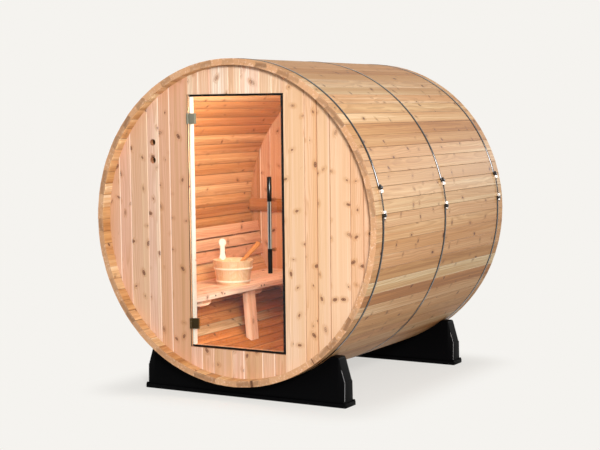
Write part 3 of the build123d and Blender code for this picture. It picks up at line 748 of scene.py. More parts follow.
for name, start, end, low, high, lights in (
    ("front_wall_left", -wall_edge, -DOOR_SIDE, None, None, (0.2, 0.7)),
    ("front_wall_right", DOOR_SIDE, wall_edge, None, None, (0.35, 0.8)),
    ("front_wall_over_door", -DOOR_SIDE, DOOR_SIDE, DOOR_HALF, None, (0.88, 1.0)),
    ("front_wall_under_door", -DOOR_SIDE, DOOR_SIDE, None, -DOOR_HALF, (0.2, 0.8)),
):
    pile = Pile()
    for x0, x1 in wall_run(start, end):
        if (x0, x1) != VENT_BOARD:
            upright(pile, x0, x1, low, high, chance.uniform(*lights))
    # boards right of the door get dark joints, dirt and painted shade; those on the left light joints, a painted
    # highlight
    pile.build(name + "_boards", honey_cedar if start > 0 else wall_cedar, [name])
pile = Pile()
for x0, x1 in wall_run(-wall_edge, wall_edge):
    upright(pile, x0, x1, None, None, chance.random(), back=True)
pile.build("back_wall_boards", wall_cedar, ["back_wall"])
print("the back wall has", len(wall_run(-wall_edge, wall_edge)), "boards")

# %% [markdown]
# ## Two vents
#
# Air leaves the cabin through two bores in one of the narrow boards. They are drilled with a
# boolean: a pair of rods is taken away from the board. The construction model's record says where
# the bores are and how wide.

# %% Drill the vent board
vents = [mount for mount in frame["record"]["mounts"] if mount["name"].startswith("vent")]
VENT_X = vents[0]["pos_m"][0]
VENT_HEIGHTS = sorted(mount["pos_m"][2] for mount in vents)
VENT_R = vents[0]["dims"]["r_mm"] * MM
VENT_TONE = 0.62
pile = Pile()
upright(pile, *VENT_BOARD, None, None, VENT_TONE)
board = pile.build("front_wall_vent_board", wall_cedar, ["front_wall_left"])
rods = Pile()
overrun = 20 * MM
through = WALL_FACE - CABIN_HALF + 2 * overrun
for z in VENT_HEIGHTS:
    rods.turned((VENT_X, -WALL_FACE - overrun, z), (0, 1, 0), [(0, VENT_R), (through, VENT_R)], sides=48)
drill = rods.build("vent_drill", wall_cedar)
boring = board.modifiers.new("vents", "BOOLEAN")
boring.operation = "DIFFERENCE"
boring.object = drill
drilled = bpy.data.meshes.new_from_object(board.evaluated_get(bpy.context.evaluated_depsgraph_get()))
board.modifiers.clear()
board.data = drilled
bpy.data.objects.remove(drill)
print("vent board:", len(drilled.polygons), "faces")

# %% [markdown]
# ## The drilled board's grain
#
# The boolean made new points and faces that have no place in the log yet. So the whole board gets
# its grain again, along its height, its grooves at both edges, one tone, and the place of each
# face: the walls of the bores are sawn wood, the face towards the cabin is indoors.

# %% Lay the grain again
spots = np.array([v.co for v in drilled.vertices])
grain = spots[:, [2, 0, 1]] + (3.0, 0.55, 0.85)
grooved = np.abs(spots[:, 0] - VENT_X) > NARROW / 2 - GROOVE / 2
places = []
for face in drilled.polygons:
    away = min((Vector((VENT_X, face.center.y, z)) - face.center).length for z in VENT_HEIGHTS)
    if away < VENT_R + 1 * MM and abs(face.normal.y) < 0.5:
        places.append(SAWN_END)
    else:
        places.append(INDOORS if face.center.y > -CABIN_HALF - GROOVE else OUTDOORS)
tones = np.full(len(drilled.polygons), VENT_TONE)
for key, field, values in (("grain", "vector", grain), ("seam", "value", grooved), ("tone", "value", tones),
                           ("place", "value", places)):
    drilled.attributes[key].data.foreach_set(field, np.array(values, np.float32).ravel())
drilled.set_sharp_from_angle(angle=SMOOTH_BELOW)
print("faces in the two bores:", places.count(SAWN_END))

# %% [markdown]
# ## Other materials
#
# Everything that isn't cedar or glass is described by a handful of typical values. One function
# makes such a finish: a colour, how rough it is, whether it is a metal, how strongly a plastic
# shines, and how far small patches of it are darker. The roughness itself wanders a little too,
# which breaks up a reflection the way a real rolled or moulded surface does.


# %% Finishes of one colour
def finish(name, code, roughness, metallic=0.0, shine=0.5, mottle=0.0):
    """A finish of one colour. mottle is how far small patches darken, about 300 in a metre."""
    material, tree = fresh(name)
    position = add(tree, "TexCoord").outputs["Object"]
    noise = add(tree, "TexNoise", {"Vector": position, "Scale": 300.0, "Detail": 3.0})
    least, most = 0.85 * roughness, 1.15 * roughness
    uneven = add(tree, "MapRange", {"Value": noise, "To Min": least, "To Max": most})
    paint = colour(code)
    if mottle:
        patch = add(tree, "MapRange", {"Value": noise, "From Min": 0.35, "From Max": 0.7, "To Max": mottle})
        paint = add(tree, "MixRGB", (patch, paint, colour("#000000")))
    skin = add(tree, "BsdfPrincipled", {"Base Color": paint, "Roughness": uneven, "Metallic": metallic,
                                        "Specular IOR Level": shine})
    add(tree, "OutputMaterial", (skin,))
    return material


strap_steel = finish("strap_steel_rolled", "#322F2F", 0.17, metallic=1.0, mottle=0.03)  # dark, a painted reflection of a dark room; it flashes
bolt_steel = finish("bolt_steel_rolled", "#8C8A88", 0.26, metallic=1.0)  # grey draw bolts
block_zinc = finish("clamp_block_zinc_plated", "#ECEAE8", 0.3, metallic=1.0)  # the bright squares at the lugs
lug_steel = finish("lug_steel_blackened", "#101011", 0.3, shine=0.6)  # the black ends of the bands
post_brass = finish("post_brass_satin", "#C08660", 0.38, metallic=0.9)  # quiet posts and caps
pull_steel = finish("pull_steel_polished", "#CCCCC8", 0.07, metallic=1.0)  # mirror streaks on the pull
sleeve_lacquer = finish("pull_sleeve_black_lacquer", "#0C0906", 0.14, shine=0.22)  # glossy dark grips
hinge_zinc = finish("hinge_zinc_powder_coated", "#7A7868", 0.5, shine=0.3)  # the grey-green upper hinge
hinge_bronze = finish("hinge_bronze_oiled", "#54442A", 0.36, metallic=0.7)  # the olive-black lower hinge
rubber = finish("seal_rubber_extruded", "#050505", 0.6, shine=0.2)  # the black line round the glass
plastic = finish("cradle_plastic_moulded", "#030304", 0.5, shine=0.04, mottle=0.2)  # nearly no shine
painted_edge_highlight = finish("cradle_edge_painted_highlight", "#A8A8AA", 0.5)  # a painted highlight: the pale glint along a rounded edge
screw_steel = finish("screw_steel_browned", "#170C08", 0.5, shine=0.3)  # dark dots in the bench
print("materials so far:", len(bpy.data.materials))

# %% [markdown]
# ## Grilles in the vents
#
# A dark ring with five slanting slats closes the inner end of each bore. The slats let air pass and
# hide the cabin from view. Their ends follow the ring, so the outer ones are shorter.

# %% Louvres
RING_OUT, RING_IN, RING_DEEP = 18.8 * MM, 16.5 * MM, 9 * MM
LOUVRE_RISE, LOUVRE_REACH = 7 * MM, 17.5 * MM
LOUVRE_SECTION = ((0, 0), (7, 8), (8.2, 7), (1.2, -1))  # inwards and up from the lower edge, in mm
ring_back = -CABIN_HALF - 2 * MM
ring = [(0, RING_IN), (0, RING_OUT), (RING_DEEP, RING_OUT), (RING_DEEP, RING_IN)]
pile = Pile()
for height in VENT_HEIGHTS:
    pile.turned((VENT_X, ring_back - RING_DEEP, height), (0, 1, 0), ring, loop=True)
    for louvre in range(-2, 3):
        rise = louvre * LOUVRE_RISE
        reach = sqrt(LOUVRE_REACH**2 - rise**2)
        corners = [(ring_back + (y - 8) * MM, height + rise + (z - 4) * MM) for y, z in LOUVRE_SECTION]
        pile.loft([[(VENT_X + side, y, z) for y, z in corners] for side in (-reach, reach)])
pile.build("vent_grilles", hinge_bronze, ["front_wall_left"])
print(f"each grille is {2 * RING_IN / MM:.0f} mm wide inside its ring")

# %% [markdown]
# ## Door lining
#
# Four thin boards line the doorway and stand a little into the cabin. They are clear cedar sapwood,
# the palest wood on the sauna, painted nearly pure white as well: a painted highlight of the light
# that floods them. The lower one is as dark as the wall boards. Thin black foam is glued to the front
# edges for the glass to close against: a wide strip on the lock side, narrow ones at the top and
# bottom. Its black is also painted shade, the shadow in the gap round the glass. The hinge side has
# none. There a thin black bead covers the edge of the wall boards, a painted shadow line for the gap
# in shade beside the hinges, and a facing of wood the thickness of veneer runs from it to the lining,
# in the darkest wall tone as painted shade.

# %% Line the doorway
lining_cedar_with_highlight = cedar(
    # tones of nearly pure white: pale sapwood with a painted highlight of the light that floods the lining
    "cedar_lining_clear_painted_highlight", ["#FCF8F8", "#FEFDFF", "#FFFFFF"], late="#F0E2D8", knot="#A87852", rim="#84583A",
    groove="#9A6238", end="#C08A5C", knot_size=10 * MM, knots=0.4,
)
LINING, ROUND = 12 * MM, 1.5 * MM
LINING_FRONT, LINING_BACK = face_of("door_lining", LOW, Y), face_of("door_lining", HIGH, Y)
middle_y, depth = (LINING_FRONT + LINING_BACK) / 2, LINING_BACK - LINING_FRONT
side_x, side_z = DOOR_SIDE - LINING / 2, DOOR_HALF - LINING / 2
inner_x = side_x - LINING / 2 - 0.2 * MM
pile = Pile()
for side in (-1, 1):
    foot, head = ((side * side_x, middle_y, AXIS + end * DOOR_HALF) for end in (-1, 1))
    pile.plank(foot, head, (1, 0, 0), depth, LINING, ROUND)
for side in (1, -1):
    pile.slot = 1 if side < 0 else 0
    left, right = ((end * inner_x, middle_y, AXIS + side * side_z) for end in (-1, 1))
    pile.plank(left, right, (0, 0, 1), depth, LINING, ROUND, tone=0.3)
print(f"the clear width between the lining boards is {2 * (side_x - LINING / 2) / MM:.0f} mm")

# %% [markdown]
# ## Foam and bead
#
# Foam and facing are half a millimetre thick and the bead is four millimetres wide, but they draw
# the dark line that the eye follows round the doorway: painted shade of the gaps round the glass,
# with the foam a real stop as well. They join the pile of the lining, since they are fixed to it for
# good. Each is a block, so its edges are eased like those of the boards.

# %% Foam strips, bead and facing
# black strips on the lining: a stop for the glass, and painted shade of the gap round it
FOAM_AND_SHADE, FOAM_AND_SHADE_WIDE, SHORT = 0.5 * MM, 22 * MM, 1 * MM
foam_and_shade_left, foam_and_shade_right = -DOOR_SIDE + 5 * MM, DOOR_SIDE - FOAM_AND_SHADE_WIDE
pile.slot = 2
for x0, x1, z0, z1 in (
    (foam_and_shade_right, DOOR_SIDE - 0.5 * MM, -DOOR_HALF + SHORT, DOOR_HALF - SHORT),
    (foam_and_shade_left, foam_and_shade_right, DOOR_HALF - LINING, DOOR_HALF - SHORT),
    (foam_and_shade_left, foam_and_shade_right, -DOOR_HALF + SHORT, -DOOR_HALF + LINING),
):
    pile.block((x0, LINING_FRONT - FOAM_AND_SHADE, AXIS + z0), (x1, LINING_FRONT, AXIS + z1), 0.15 * MM)
low, high = AXIS - DOOR_HALF + SHORT, AXIS + DOOR_HALF - SHORT
# the bead is a painted shadow line on the edge of the wall boards
shadow_bead_back = -WALL_FACE + 1.6 * MM
shadow_bead_low = (-DOOR_SIDE - 3.6 * MM, -WALL_FACE - 0.5 * MM, low)
pile.block(shadow_bead_low, (-DOOR_SIDE + 0.4 * MM, shadow_bead_back, high), 0.2 * MM)
pile.slot = 1
# the facing takes the darkest wall tone: painted shade
shaded_facing_low = (-DOOR_SIDE - 0.2 * MM, shadow_bead_back, low)
pile.block(shaded_facing_low, (-DOOR_SIDE + 0.3 * MM, LINING_FRONT, high), 0.1 * MM, axis=2, tone=0.1)
pile.build("door_lining_boards", [lining_cedar_with_highlight, wall_cedar, rubber], ["door_lining"])
print("lining, foam and bead:", len(pile.faces), "faces")

# %% [markdown]
# ## Glass
#
# The door is one sheet of toughened glass. Light bends in it and a little is mirrored, but shadows
# pass straight through, so that lamps outside can light the cabin. The sheet itself is a plain slab,
# so the solid of the construction model is kept and only gets its material.

# %% Toughened glass
glass, tree = fresh("door_glass_toughened")
clear = add(tree, "BsdfPrincipled",
            {"Base Color": colour("#F8FCFA"), "Roughness": 0.0, "Transmission Weight": 1.0})
passing = add(tree, "BsdfTransparent", {"Color": colour("#F4FAF7")})
rays = add(tree, "LightPath").outputs
straight = add(tree, "Math", (rays["Is Shadow Ray"], rays["Is Diffuse Ray"]), operation="MAXIMUM")
pane = add(tree, "MixShader", (straight, clear, passing))
add(tree, "OutputMaterial", (pane,))
nodes["door_glass"].data.materials.clear()
nodes["door_glass"].data.materials.append(glass)
GLASS_LEFT, GLASS_RIGHT = face_of("door_glass", LOW, X), face_of("door_glass", HIGH, X)
GLASS_FRONT, GLASS_BACK = face_of("door_glass", LOW, Y), face_of("door_glass", HIGH, Y)
GLASS_HALF = face_of("door_glass", HIGH, Z) - AXIS
print(f"glass {(GLASS_RIGHT - GLASS_LEFT) / MM:.1f} x {2 * GLASS_HALF / MM:.0f} mm")

# %% [markdown]
# ## Seal
#
# A rubber seal is pushed over three of the sheet's edges. Its section is a U with rounded corners,
# led round two mitred corners, so four rings of points are enough for the whole strip.

# %% A strip of rubber
grip, lip, bulb = 4 * MM, 1.5 * MM, 3 * MM
half = (GLASS_BACK - GLASS_FRONT) / 2
centre_y = (GLASS_FRONT + GLASS_BACK) / 2
arm = [(-grip, half), (-grip, half + 0.6 * lip), (-grip + 1 * MM, half + lip)]
arm += [(bulb - 2 * MM, half + lip), (bulb, half)]
u_section = [(n, -y) for n, y in arm] + [(n, y) for n, y in reversed(arm)] + [(0, half), (0, -half)]
pile = Pile()
corners = ((GLASS_LEFT, 0, 1), (GLASS_RIGHT, 1, 1), (GLASS_RIGHT, 1, -1), (GLASS_LEFT, 0, -1))
pile.loft([[(edge + out * n, centre_y + y, AXIS + side * (GLASS_HALF + n)) for n, y in u_section]
           for edge, out, side in corners])
pile.build("door_seal_strip", rubber, ["door_seal"], body="door")
print("the seal's section has", len(u_section), "points")

# %% [markdown]
# ## Hinges
#
# Each hinge clamps the glass between two small plates, joined through a notch in its edge. A knuckle
# on the clamp turns between two on the leaf, round a steel pin. The leaf is screwed to the side of
# the doorway. The edges of the plates are eased, and these narrow rounds are what flashes. All
# places are measured from the middle of the pin, in millimetres.

# %% Two hinges
PIN_X, PIN_Y = frame["joints"][0]["pos_m"][:2]
KNUCKLE, PIN_R, EASED = 7 * MM, 3 * MM, 0.8 * MM
CLAMP_BLOCKS = (  # low corner, high corner, eased edge
    ((7.5, 1.5, -30), (48, 8.5, 30), 1.0),  # the plate in front of the glass
    ((16, 16.5, -30), (48, 20.5, 30), 0.8),  # the plate behind it
    ((4.3, 8, -16.7), (25.7, 17, 16.7), 0.4),  # the spacer in the notch
    ((0, 2, -9.3), (8, 8, 9.3), 0.4),  # the tongue to the knuckle
)
LEAF_BLOCKS = (
    ((-4, 0, -30), (-1.5, 23.5, -10)),  # the tongue of the lower knuckle
    ((-4, 0, 10), (-1.5, 23.5, 30)),  # and of the upper one
    ((-3.9, 7.5, -29.9), (-1.6, 23.5, 29.9)),  # the plate on the doorway
)
for name, metal in (("upper", hinge_zinc), ("lower", hinge_bronze)):
    pin = Vector((PIN_X, PIN_Y, middle_of(f"hinge_{name}_glass_clamp", Z)))
    clamp, leaf = Pile(), Pile()
    for low, high, ease in CLAMP_BLOCKS:
        clamp.block(pin + Vector(low) * MM, pin + Vector(high) * MM, ease * MM)
    for part, start, length in ((clamp, -9.5, 19 * MM), (leaf, -30, 20 * MM), (leaf, 10, 20 * MM)):
        knuckle = [(0, KNUCKLE - EASED), (EASED, KNUCKLE)]
        knuckle += [(length - EASED, KNUCKLE), (length, KNUCKLE - EASED)]
        part.turned(pin + Vector((0, 0, start * MM)), (0, 0, 1), knuckle)
    leaf.turned(pin - Vector((0, 0, 30 * MM)), (0, 0, 1), [(0, PIN_R), (60 * MM, PIN_R)])
    for low, high in LEAF_BLOCKS:
        leaf.block(pin + Vector(low) * MM, pin + Vector(high) * MM, 0.5 * MM, axis=0)
    clamp.build(f"hinge_{name}_glass_clamp_made", metal, [f"hinge_{name}_glass_clamp"], body="door")
    leaf.build(f"hinge_{name}_wall_leaf_made", metal, [f"hinge_{name}_wall_leaf"])
    print(f"{name} hinge at {tuple(round(c, 4) for c in pin)}")

# %% [markdown]
# ## Door pull
#
# The pull is a steel tube with a long black sleeve on each end. Two posts with rubber washers hold
# it off the glass, and a round cap closes each stud on the inside. On such a thin mirror the whole
# room is squeezed into a few bright and dark lines, so it needs nothing but low roughness.

# %% Tube, sleeves, posts and caps
PULL_X, PULL_Y = middle_of("door_pull", X), GLASS_FRONT - 45 * MM
PULL_R = face_of("door_pull", HIGH, X) - PULL_X
PULL_HALF = face_of("door_pull", HIGH, Z) - AXIS
POST_Z, POST_R, WASHER_R, CAP_R, FLANGE_R = 137.5 * MM, 8 * MM, 8.5 * MM, 12 * MM, 11 * MM
tube_half, tube_r = POST_Z - POST_R, PULL_R - 0.4 * MM
post = [(0, POST_R), (43.5 * MM, POST_R), (43.5 * MM, FLANGE_R), (44.5 * MM, FLANGE_R)]
cap = [(0, CAP_R), (2.5 * MM, CAP_R), (4 * MM, CAP_R - 1.5 * MM)]
washer = [(0, WASHER_R), (0.6 * MM, WASHER_R)]
length = PULL_HALF - tube_half
sleeve = [(0, PULL_R - 0.5 * MM), (0.5 * MM, PULL_R), (length - 2 * MM, PULL_R)]
sleeve += [(length - 0.6 * MM, PULL_R - 0.7 * MM), (length, PULL_R - 2.2 * MM)]
pile = Pile()
pile.turned((PULL_X, PULL_Y, AXIS - tube_half), (0, 0, 1), [(0, tube_r), (2 * tube_half, tube_r)], sides=48)
for side in (-1, 1):
    height = AXIS + side * POST_Z
    pile.slot = 3
    pile.turned((PULL_X, PULL_Y, height), (0, 1, 0), post)
    pile.turned((PULL_X, GLASS_BACK, height), (0, 1, 0), cap)
    pile.slot = 1
    pile.turned((PULL_X, PULL_Y, AXIS + side * tube_half), (0, 0, side), sleeve, sides=48)
    pile.slot = 2
    pile.turned((PULL_X, GLASS_FRONT - 0.6 * MM, height), (0, 1, 0), washer)
pile.build("door_pull_made", [pull_steel, sleeve_lacquer, rubber, post_brass], ["door_pull"], body="door")
print(f"pull {2 * PULL_HALF / MM:.0f} mm long, {2 * PULL_R / MM:.0f} mm thick")

# %% [markdown]
# ## Tension bands
#
# Three flat steel straps squeeze the staves together. Each end is bent round a black lug, and a
# long bolt draws the two lugs towards each other. The strap is one ribbon led along a path: round
# the barrel first, then round the lug, and back down on itself. It is set a hair into the corners
# of the staves, as a tight band is.

# %% The path of a strap
STRAP, LUG_R, PLAY = 1.5 * MM, 8.5 * MM, 0.2 * MM
STRAP_W = face_of("band_middle", HIGH, Y) - face_of("band_middle", LOW, Y)
LUG_CENTRE = RADIUS + STRAP + PLAY + LUG_R
UPPER_LUG, LOWER_LUG = 76.6, 85.8  # degrees from the top
LOOP_R = LUG_R + PLAY + STRAP / 2


def round_barrel(degrees, radius):
    """The point at an angle from the top and a radius from the axis, and the way out there."""
    out = Vector((sin(radians(degrees)), 0, cos(radians(degrees))))
    return Vector((0, 0, AXIS)) + out * radius, out


def lug_loop(degrees, ahead):
    """The path of the strap, 330 degrees round a lug. ahead is +1 if it gets there from the top."""
    centre, out = round_barrel(degrees, LUG_CENTRE)
    on = Vector((out.z, 0, -out.x)) * ahead
    turns = [radians(330 * step / 30) for step in range(31)]
    return [(centre + (on * sin(t) - out * cos(t)) * LOOP_R, out * cos(t) - on * sin(t)) for t in turns]


steps = 240
path = list(reversed(lug_loop(LOWER_LUG, -1)))
for step in range(1, steps):
    degrees = LOWER_LUG + (360 - LOWER_LUG + UPPER_LUG) * step / steps
    path.append(round_barrel(degrees, RADIUS + STRAP / 2 - PLAY))
path += lug_loop(UPPER_LUG, 1)
print("points on a strap's path:", len(path))

# %% [markdown]
# ## Three straps
#
# The same path serves all three bands, only their places along the barrel differ. Rolled steel is
# smooth, and its colour here is dark: a painted reflection of a dark room, which such a band would
# mirror. So a band is nearly black until it meets a lamp's mirror image.

# %% Lead the ribbon along the path
BAND_Y = {name: middle_of(f"band_{name}", Y) for name in ("front", "middle", "back")}
ribbon = rounded(STRAP_W, STRAP, 0.5 * MM, steps=2)
for name, y in BAND_Y.items():
    pile = Pile()
    pile.loft([[point + Vector((0, y + u, 0)) + out * v for u, v in ribbon] for point, out in path])
    pile.build(f"band_{name}_strap", strap_steel, [f"band_{name}"])
print("bands at", BAND_Y)

# %% [markdown]
# ## Lugs and draw bolts
#
# The lugs are short round bars across the straps. Between each lug and the open length of the bolt
# sits a bright zinc-plated block on a washer, and a nut with a washer closes each end outside. The
# bolt is threaded from end to end; the thread is drawn as plain rings, 1.25 mm apart, because a
# helix looks the same at this size.

# %% Tensioners
NUT, NUT_HALF, WASHER, TAIL, THREAD = 7 * MM, 6.5 * MM, 1.2 * MM, 12 * MM, 1.25 * MM
CREST, ROOT = 4.0 * MM, 3.4 * MM
BLOCK_W, BLOCK_H, BLOCK_END = 26 * MM, 16 * MM, 15 * MM
LUG_W, LUG_END = 30 * MM, 7.2 * MM
top_lug, bottom_lug = (round_barrel(angle, LUG_CENTRE)[0] for angle in (UPPER_LUG, LOWER_LUG))
pull_way = (bottom_lug - top_lug).normalized()
seat = LUG_R + PLAY + STRAP
bolt_length = (bottom_lug - top_lug).length + 2 * seat + TAIL
thread = [(0, ROOT - 0.2 * MM)]
while thread[-1][0] < bolt_length - 2 * THREAD:
    far = thread[-1][0]
    thread += [(far + THREAD / 2, CREST), (far + THREAD, ROOT)]
corner, eased = NUT_HALF / cos(pi / 6), 0.8 * MM
hexagon = [(WASHER, corner - eased), (WASHER + eased, corner), (NUT - eased, corner), (NUT, corner - eased)]
lug_bar = [(0, LUG_END), (1.2 * MM, LUG_R), (LUG_W - 1.2 * MM, LUG_R), (LUG_W, LUG_END)]
beside = Vector((0, 1, 0))
for name, y in BAND_Y.items():
    pile = Pile()
    pile.turned(top_lug + beside * y - pull_way * seat, pull_way, thread, sides=16)
    for lug, outwards in ((top_lug, -pull_way), (bottom_lug, pull_way)):
        middle, above = lug + beside * y, outwards.cross(beside)
        pile.slot = 1 if lug is top_lug else 2
        pile.turned(middle + outwards * seat, outwards, hexagon, sides=6)
        pile.turned(middle + outwards * seat, outwards, [(0, 7.8 * MM), (WASHER, 7.8 * MM)])
        pile.slot = 2
        face = rounded(BLOCK_W, BLOCK_H, 1.5 * MM)
        pile.loft([[middle - outwards * far + beside * u + above * v for u, v in face]
                   for far in (seat + WASHER, seat + BLOCK_END)], (outwards, beside, above))
        pile.turned(middle - outwards * seat, -outwards, [(0, 9 * MM), (WASHER, 9 * MM)])
        pile.slot = 1
        pile.turned(middle - beside * LUG_W / 2, beside, lug_bar)
    pile.build(f"tensioner_{name}_made", [bolt_steel, lug_steel, block_zinc], [f"tensioner_{name}"])
print(f"draw bolts {bolt_length / MM:.0f} mm long, {len(thread) // 2} threads")

# %% [markdown]
# ## The web of a cradle
#
# Two moulded plastic cradles carry the barrel. Each is a thick web that gets thinner towards the
# top, with a flat horn on both sides of the round saddle. The web is lofted from side to side:
# each station says how high it reaches there, and how far its rounded edge draws in.

# %% Stations along the web
LIP, LIP_HEIGHT = 11 * MM, 24 * MM
HORN_TOP = face_of("cradle_front", HIGH, Z)
SIDE_X = face_of("cradle_front", HIGH, X) - LIP
HORN_X, KNEE = SIDE_X - 42 * MM, 142 * MM
WEB_FOOT, WEB_TAPER, SOFT = 49 * MM, 9 * MM, 5 * MM
saddle_x = sqrt(RADIUS**2 - (AXIS - HORN_TOP) ** 2)


def web_ring(x, top, inset):
    """The section of the web at x, as a ring round its middle plane."""

    def width(z):
        """Half the web's thickness at a height."""
        return WEB_FOOT - WEB_TAPER * (z - LIP_HEIGHT) / (HORN_TOP - LIP_HEIGHT) - inset

    rising = [(width(0.0), 1 * MM), (width(30 * MM), 30 * MM), (width(top), top - SOFT)]
    for turn in (pi / 6, pi / 3, pi / 2):
        rising.append((width(top) - SOFT * (1 - cos(turn)), top - SOFT * (1 - sin(turn))))
    return [(x, -w, z) for w, z in rising] + [(x, w, z) for w, z in reversed(rising)]


stations = []
for turn in (step * pi / 6 for step in range(4)):
    inset = SOFT * (1 - sin(turn))
    stations.append((SIDE_X - SOFT * (1 - cos(turn)), KNEE - 0.4 * inset, inset))
for over, down in ((4, 12.7), (1, 4.5), (-3, 0.6), (-7, 0)):
    stations.append((HORN_X + over * MM, HORN_TOP - down * MM, 0.0))
stations.append((saddle_x + 1 * MM, HORN_TOP, 0.0))
for step in range(41):
    x = saddle_x * cos(pi * step / 80)
    stations.append((x, AXIS - sqrt(RADIUS**2 - x**2), 0.0))
stations += [(-x, top, inset) for x, top, inset in reversed(stations[:-1])]
print("cradle stations:", len(stations))

# %% [markdown]
# ## Two cradles
#
# A foot lip goes all round the web, with a small boss on each corner. A thin pale bar set into the
# outermost edge is a painted highlight: the glint of light along that rounded edge.

# %% Web, lip, bosses and the painted edge highlight
WEB_HALF = WEB_FOOT + 2.5 * MM
boss = [(0, 8 * MM), (7 * MM, 7.6 * MM), (10 * MM, 6 * MM), (11 * MM, 3 * MM)]
edge_highlight_line = (  # along x, away from the middle plane, up
    (SIDE_X - 1.4 * MM, 47.6 * MM, 34 * MM),
    (SIDE_X - 1.4 * MM, 43.8 * MM, KNEE - 4 * MM),
    (HORN_X - 2.0 * MM, 39.0 * MM, HORN_TOP - 9 * MM),
)
for name in ("front", "back"):
    y = middle_of(f"cradle_{name}", Y)
    pile = Pile()
    pile.loft([[(px, py + y, pz) for px, py, pz in web_ring(*station)] for station in stations])
    reach_x, reach_y = SIDE_X + LIP, WEB_FOOT + LIP
    pile.block((-reach_x, y - reach_y, 0), (reach_x, y + reach_y, LIP_HEIGHT), 4 * MM, axis=2)
    for sx in (-1, 1):
        for sy in (-1, 1):
            corner = (sx * (SIDE_X + 2.5 * MM), y + sy * WEB_HALF, LIP_HEIGHT - 2 * MM)
            pile.turned(corner, (0, 0, 1), boss, sides=24)
    # a pale bar along the outermost edges, a painted highlight
    pile.slot = 1
    for sx in (-1, 1):
        line = [Vector((sx * px, y - py, pz)) for px, py, pz in edge_highlight_line]
        highlight_section = rounded(1.6 * MM, 1.6 * MM, 0.5 * MM, 1)
        pile.loft([[p + Vector((sx * a, b, 0)) for a, b in highlight_section] for p in line])
    pile.build(f"cradle_{name}_moulding", [plastic, painted_edge_highlight], [f"cradle_{name}"])
    print(f"{name} cradle at y = {y}")

# %% [markdown]
# ## Cuts that follow the barrel
#
# Bench and backrest are cedar planks with eased edges. Where a plank meets the barrel, its end is
# trimmed to the curve of the staves; the leg's top is trimmed level. A cut moves each point of the
# plank's end along the plank until it lies where it should.

# %% Two cuts
HAIR, SET_BACK = 0.01 * MM, 0.14 * MM  # the boards stay this far inside their solids
SEAT_TOP = face_of("bench_seat_boards", HIGH, Z) - HAIR
SEAT_UNDER = face_of("bench_bearers", HIGH, Z) - HAIR
BENCH_FRONT = face_of("bench_fascia", LOW, X) - SET_BACK
Y_END = CABIN_HALF - 0.5 * MM


def to_staves(point, along):
    """Moves a point along a plank until it meets the inside of the barrel."""
    level, way = Vector((point.x, point.z - AXIS)), Vector((along.x, along.z))
    a, b, c = way.dot(way), level.dot(way), level.dot(level) - (INNER + 0.5 * MM) ** 2
    return point + along * (-b + sqrt(b * b - a * c)) / a


def to_seat(point, along):
    """Moves a point along a plank until it is level with the underside of the seat."""
    return point + along * (SEAT_UNDER - point.z) / along.z


print(f"the seat is {(SEAT_TOP - SEAT_UNDER) / MM:.0f} mm thick, its top {SEAT_TOP:.3f} m above the ground")

# %% [markdown]
# ## Seat
#
# Three boards run along the cabin, with narrow gaps that let water off. The rearmost one is cut
# short by the curve of the barrel, so its section is drawn point by point.

# %% Seat boards
SEAT_BOARD, SEAT_PITCH = 145 * MM, 150 * MM
thick = SEAT_TOP - SEAT_UNDER
pile = Pile()
for board in range(2):
    x = BENCH_FRONT - board * SEAT_PITCH - SEAT_BOARD / 2
    ends = [(x, end, SEAT_TOP - thick / 2) for end in (-Y_END, Y_END)]
    pile.plank(*ends, (0, 0, 1), SEAT_BOARD, thick, 4 * MM)
third = BENCH_FRONT - 2 * SEAT_PITCH
outline = [(third, SEAT_UNDER + 2 * MM), (third, SEAT_TOP - 4 * MM), (third - 1.2 * MM, SEAT_TOP - 1.2 * MM)]
outline += [(third - 4 * MM, SEAT_TOP), (third - 62 * MM, SEAT_TOP)]
outline += [(third - 38 * MM, SEAT_UNDER), (third - 2 * MM, SEAT_UNDER)]
lengthwise = ((0, 1, 0), (1, 0, 0), (0, 0, 1))
pile.loft([[(x, y, z) for x, z in outline] for y in (-Y_END, Y_END)], lengthwise, places=INDOORS)
pile.build("bench_seat_planks", bench_cedar, ["bench_seat_boards"])
print(f"seat boards are {2 * Y_END:.3f} m long")

# %% [markdown]
# ## Fascia
#
# A narrow board closes the front of the seat. Two pairs of dark screws show in it, and the heads
# are turned parts with an eased rim. They share the plank's pile and take its second material.

# %% Fascia and its screws
FASCIA, SCREW_R = 20 * MM, 6.2 * MM
SCREWS_Y = (-0.455, -0.356, 0.064, 0.099)
x = BENCH_FRONT + FASCIA / 2
ends = [(x, end, SEAT_TOP - thick / 2) for end in (-Y_END, Y_END)]
screw_head = [(0, SCREW_R), (1.2 * MM, SCREW_R), (1.6 * MM, 4.5 * MM)]
pile = Pile()
pile.plank(*ends, (1, 0, 0), thick, FASCIA, 3 * MM, tone=0.97)
pile.slot = 1
for y in SCREWS_Y:
    pile.turned((BENCH_FRONT + FASCIA - 1 * MM, y, SEAT_TOP - 20 * MM), (1, 0, 0), screw_head, sides=20)
pile.build("bench_fascia_plank", [bench_cedar, screw_steel], ["bench_fascia"])
print("screws in the fascia:", len(SCREWS_Y))

# %% [markdown]
# ## Bearers and leg
#
# Three bearers lie flat under the seat, from the fascia to the staves. Their front ends are cut
# away below, so that no sharp corner meets a knee. One leg stands under the middle of the bench.
# It leans a little and ends on the staves, so it gets one cut of each kind.

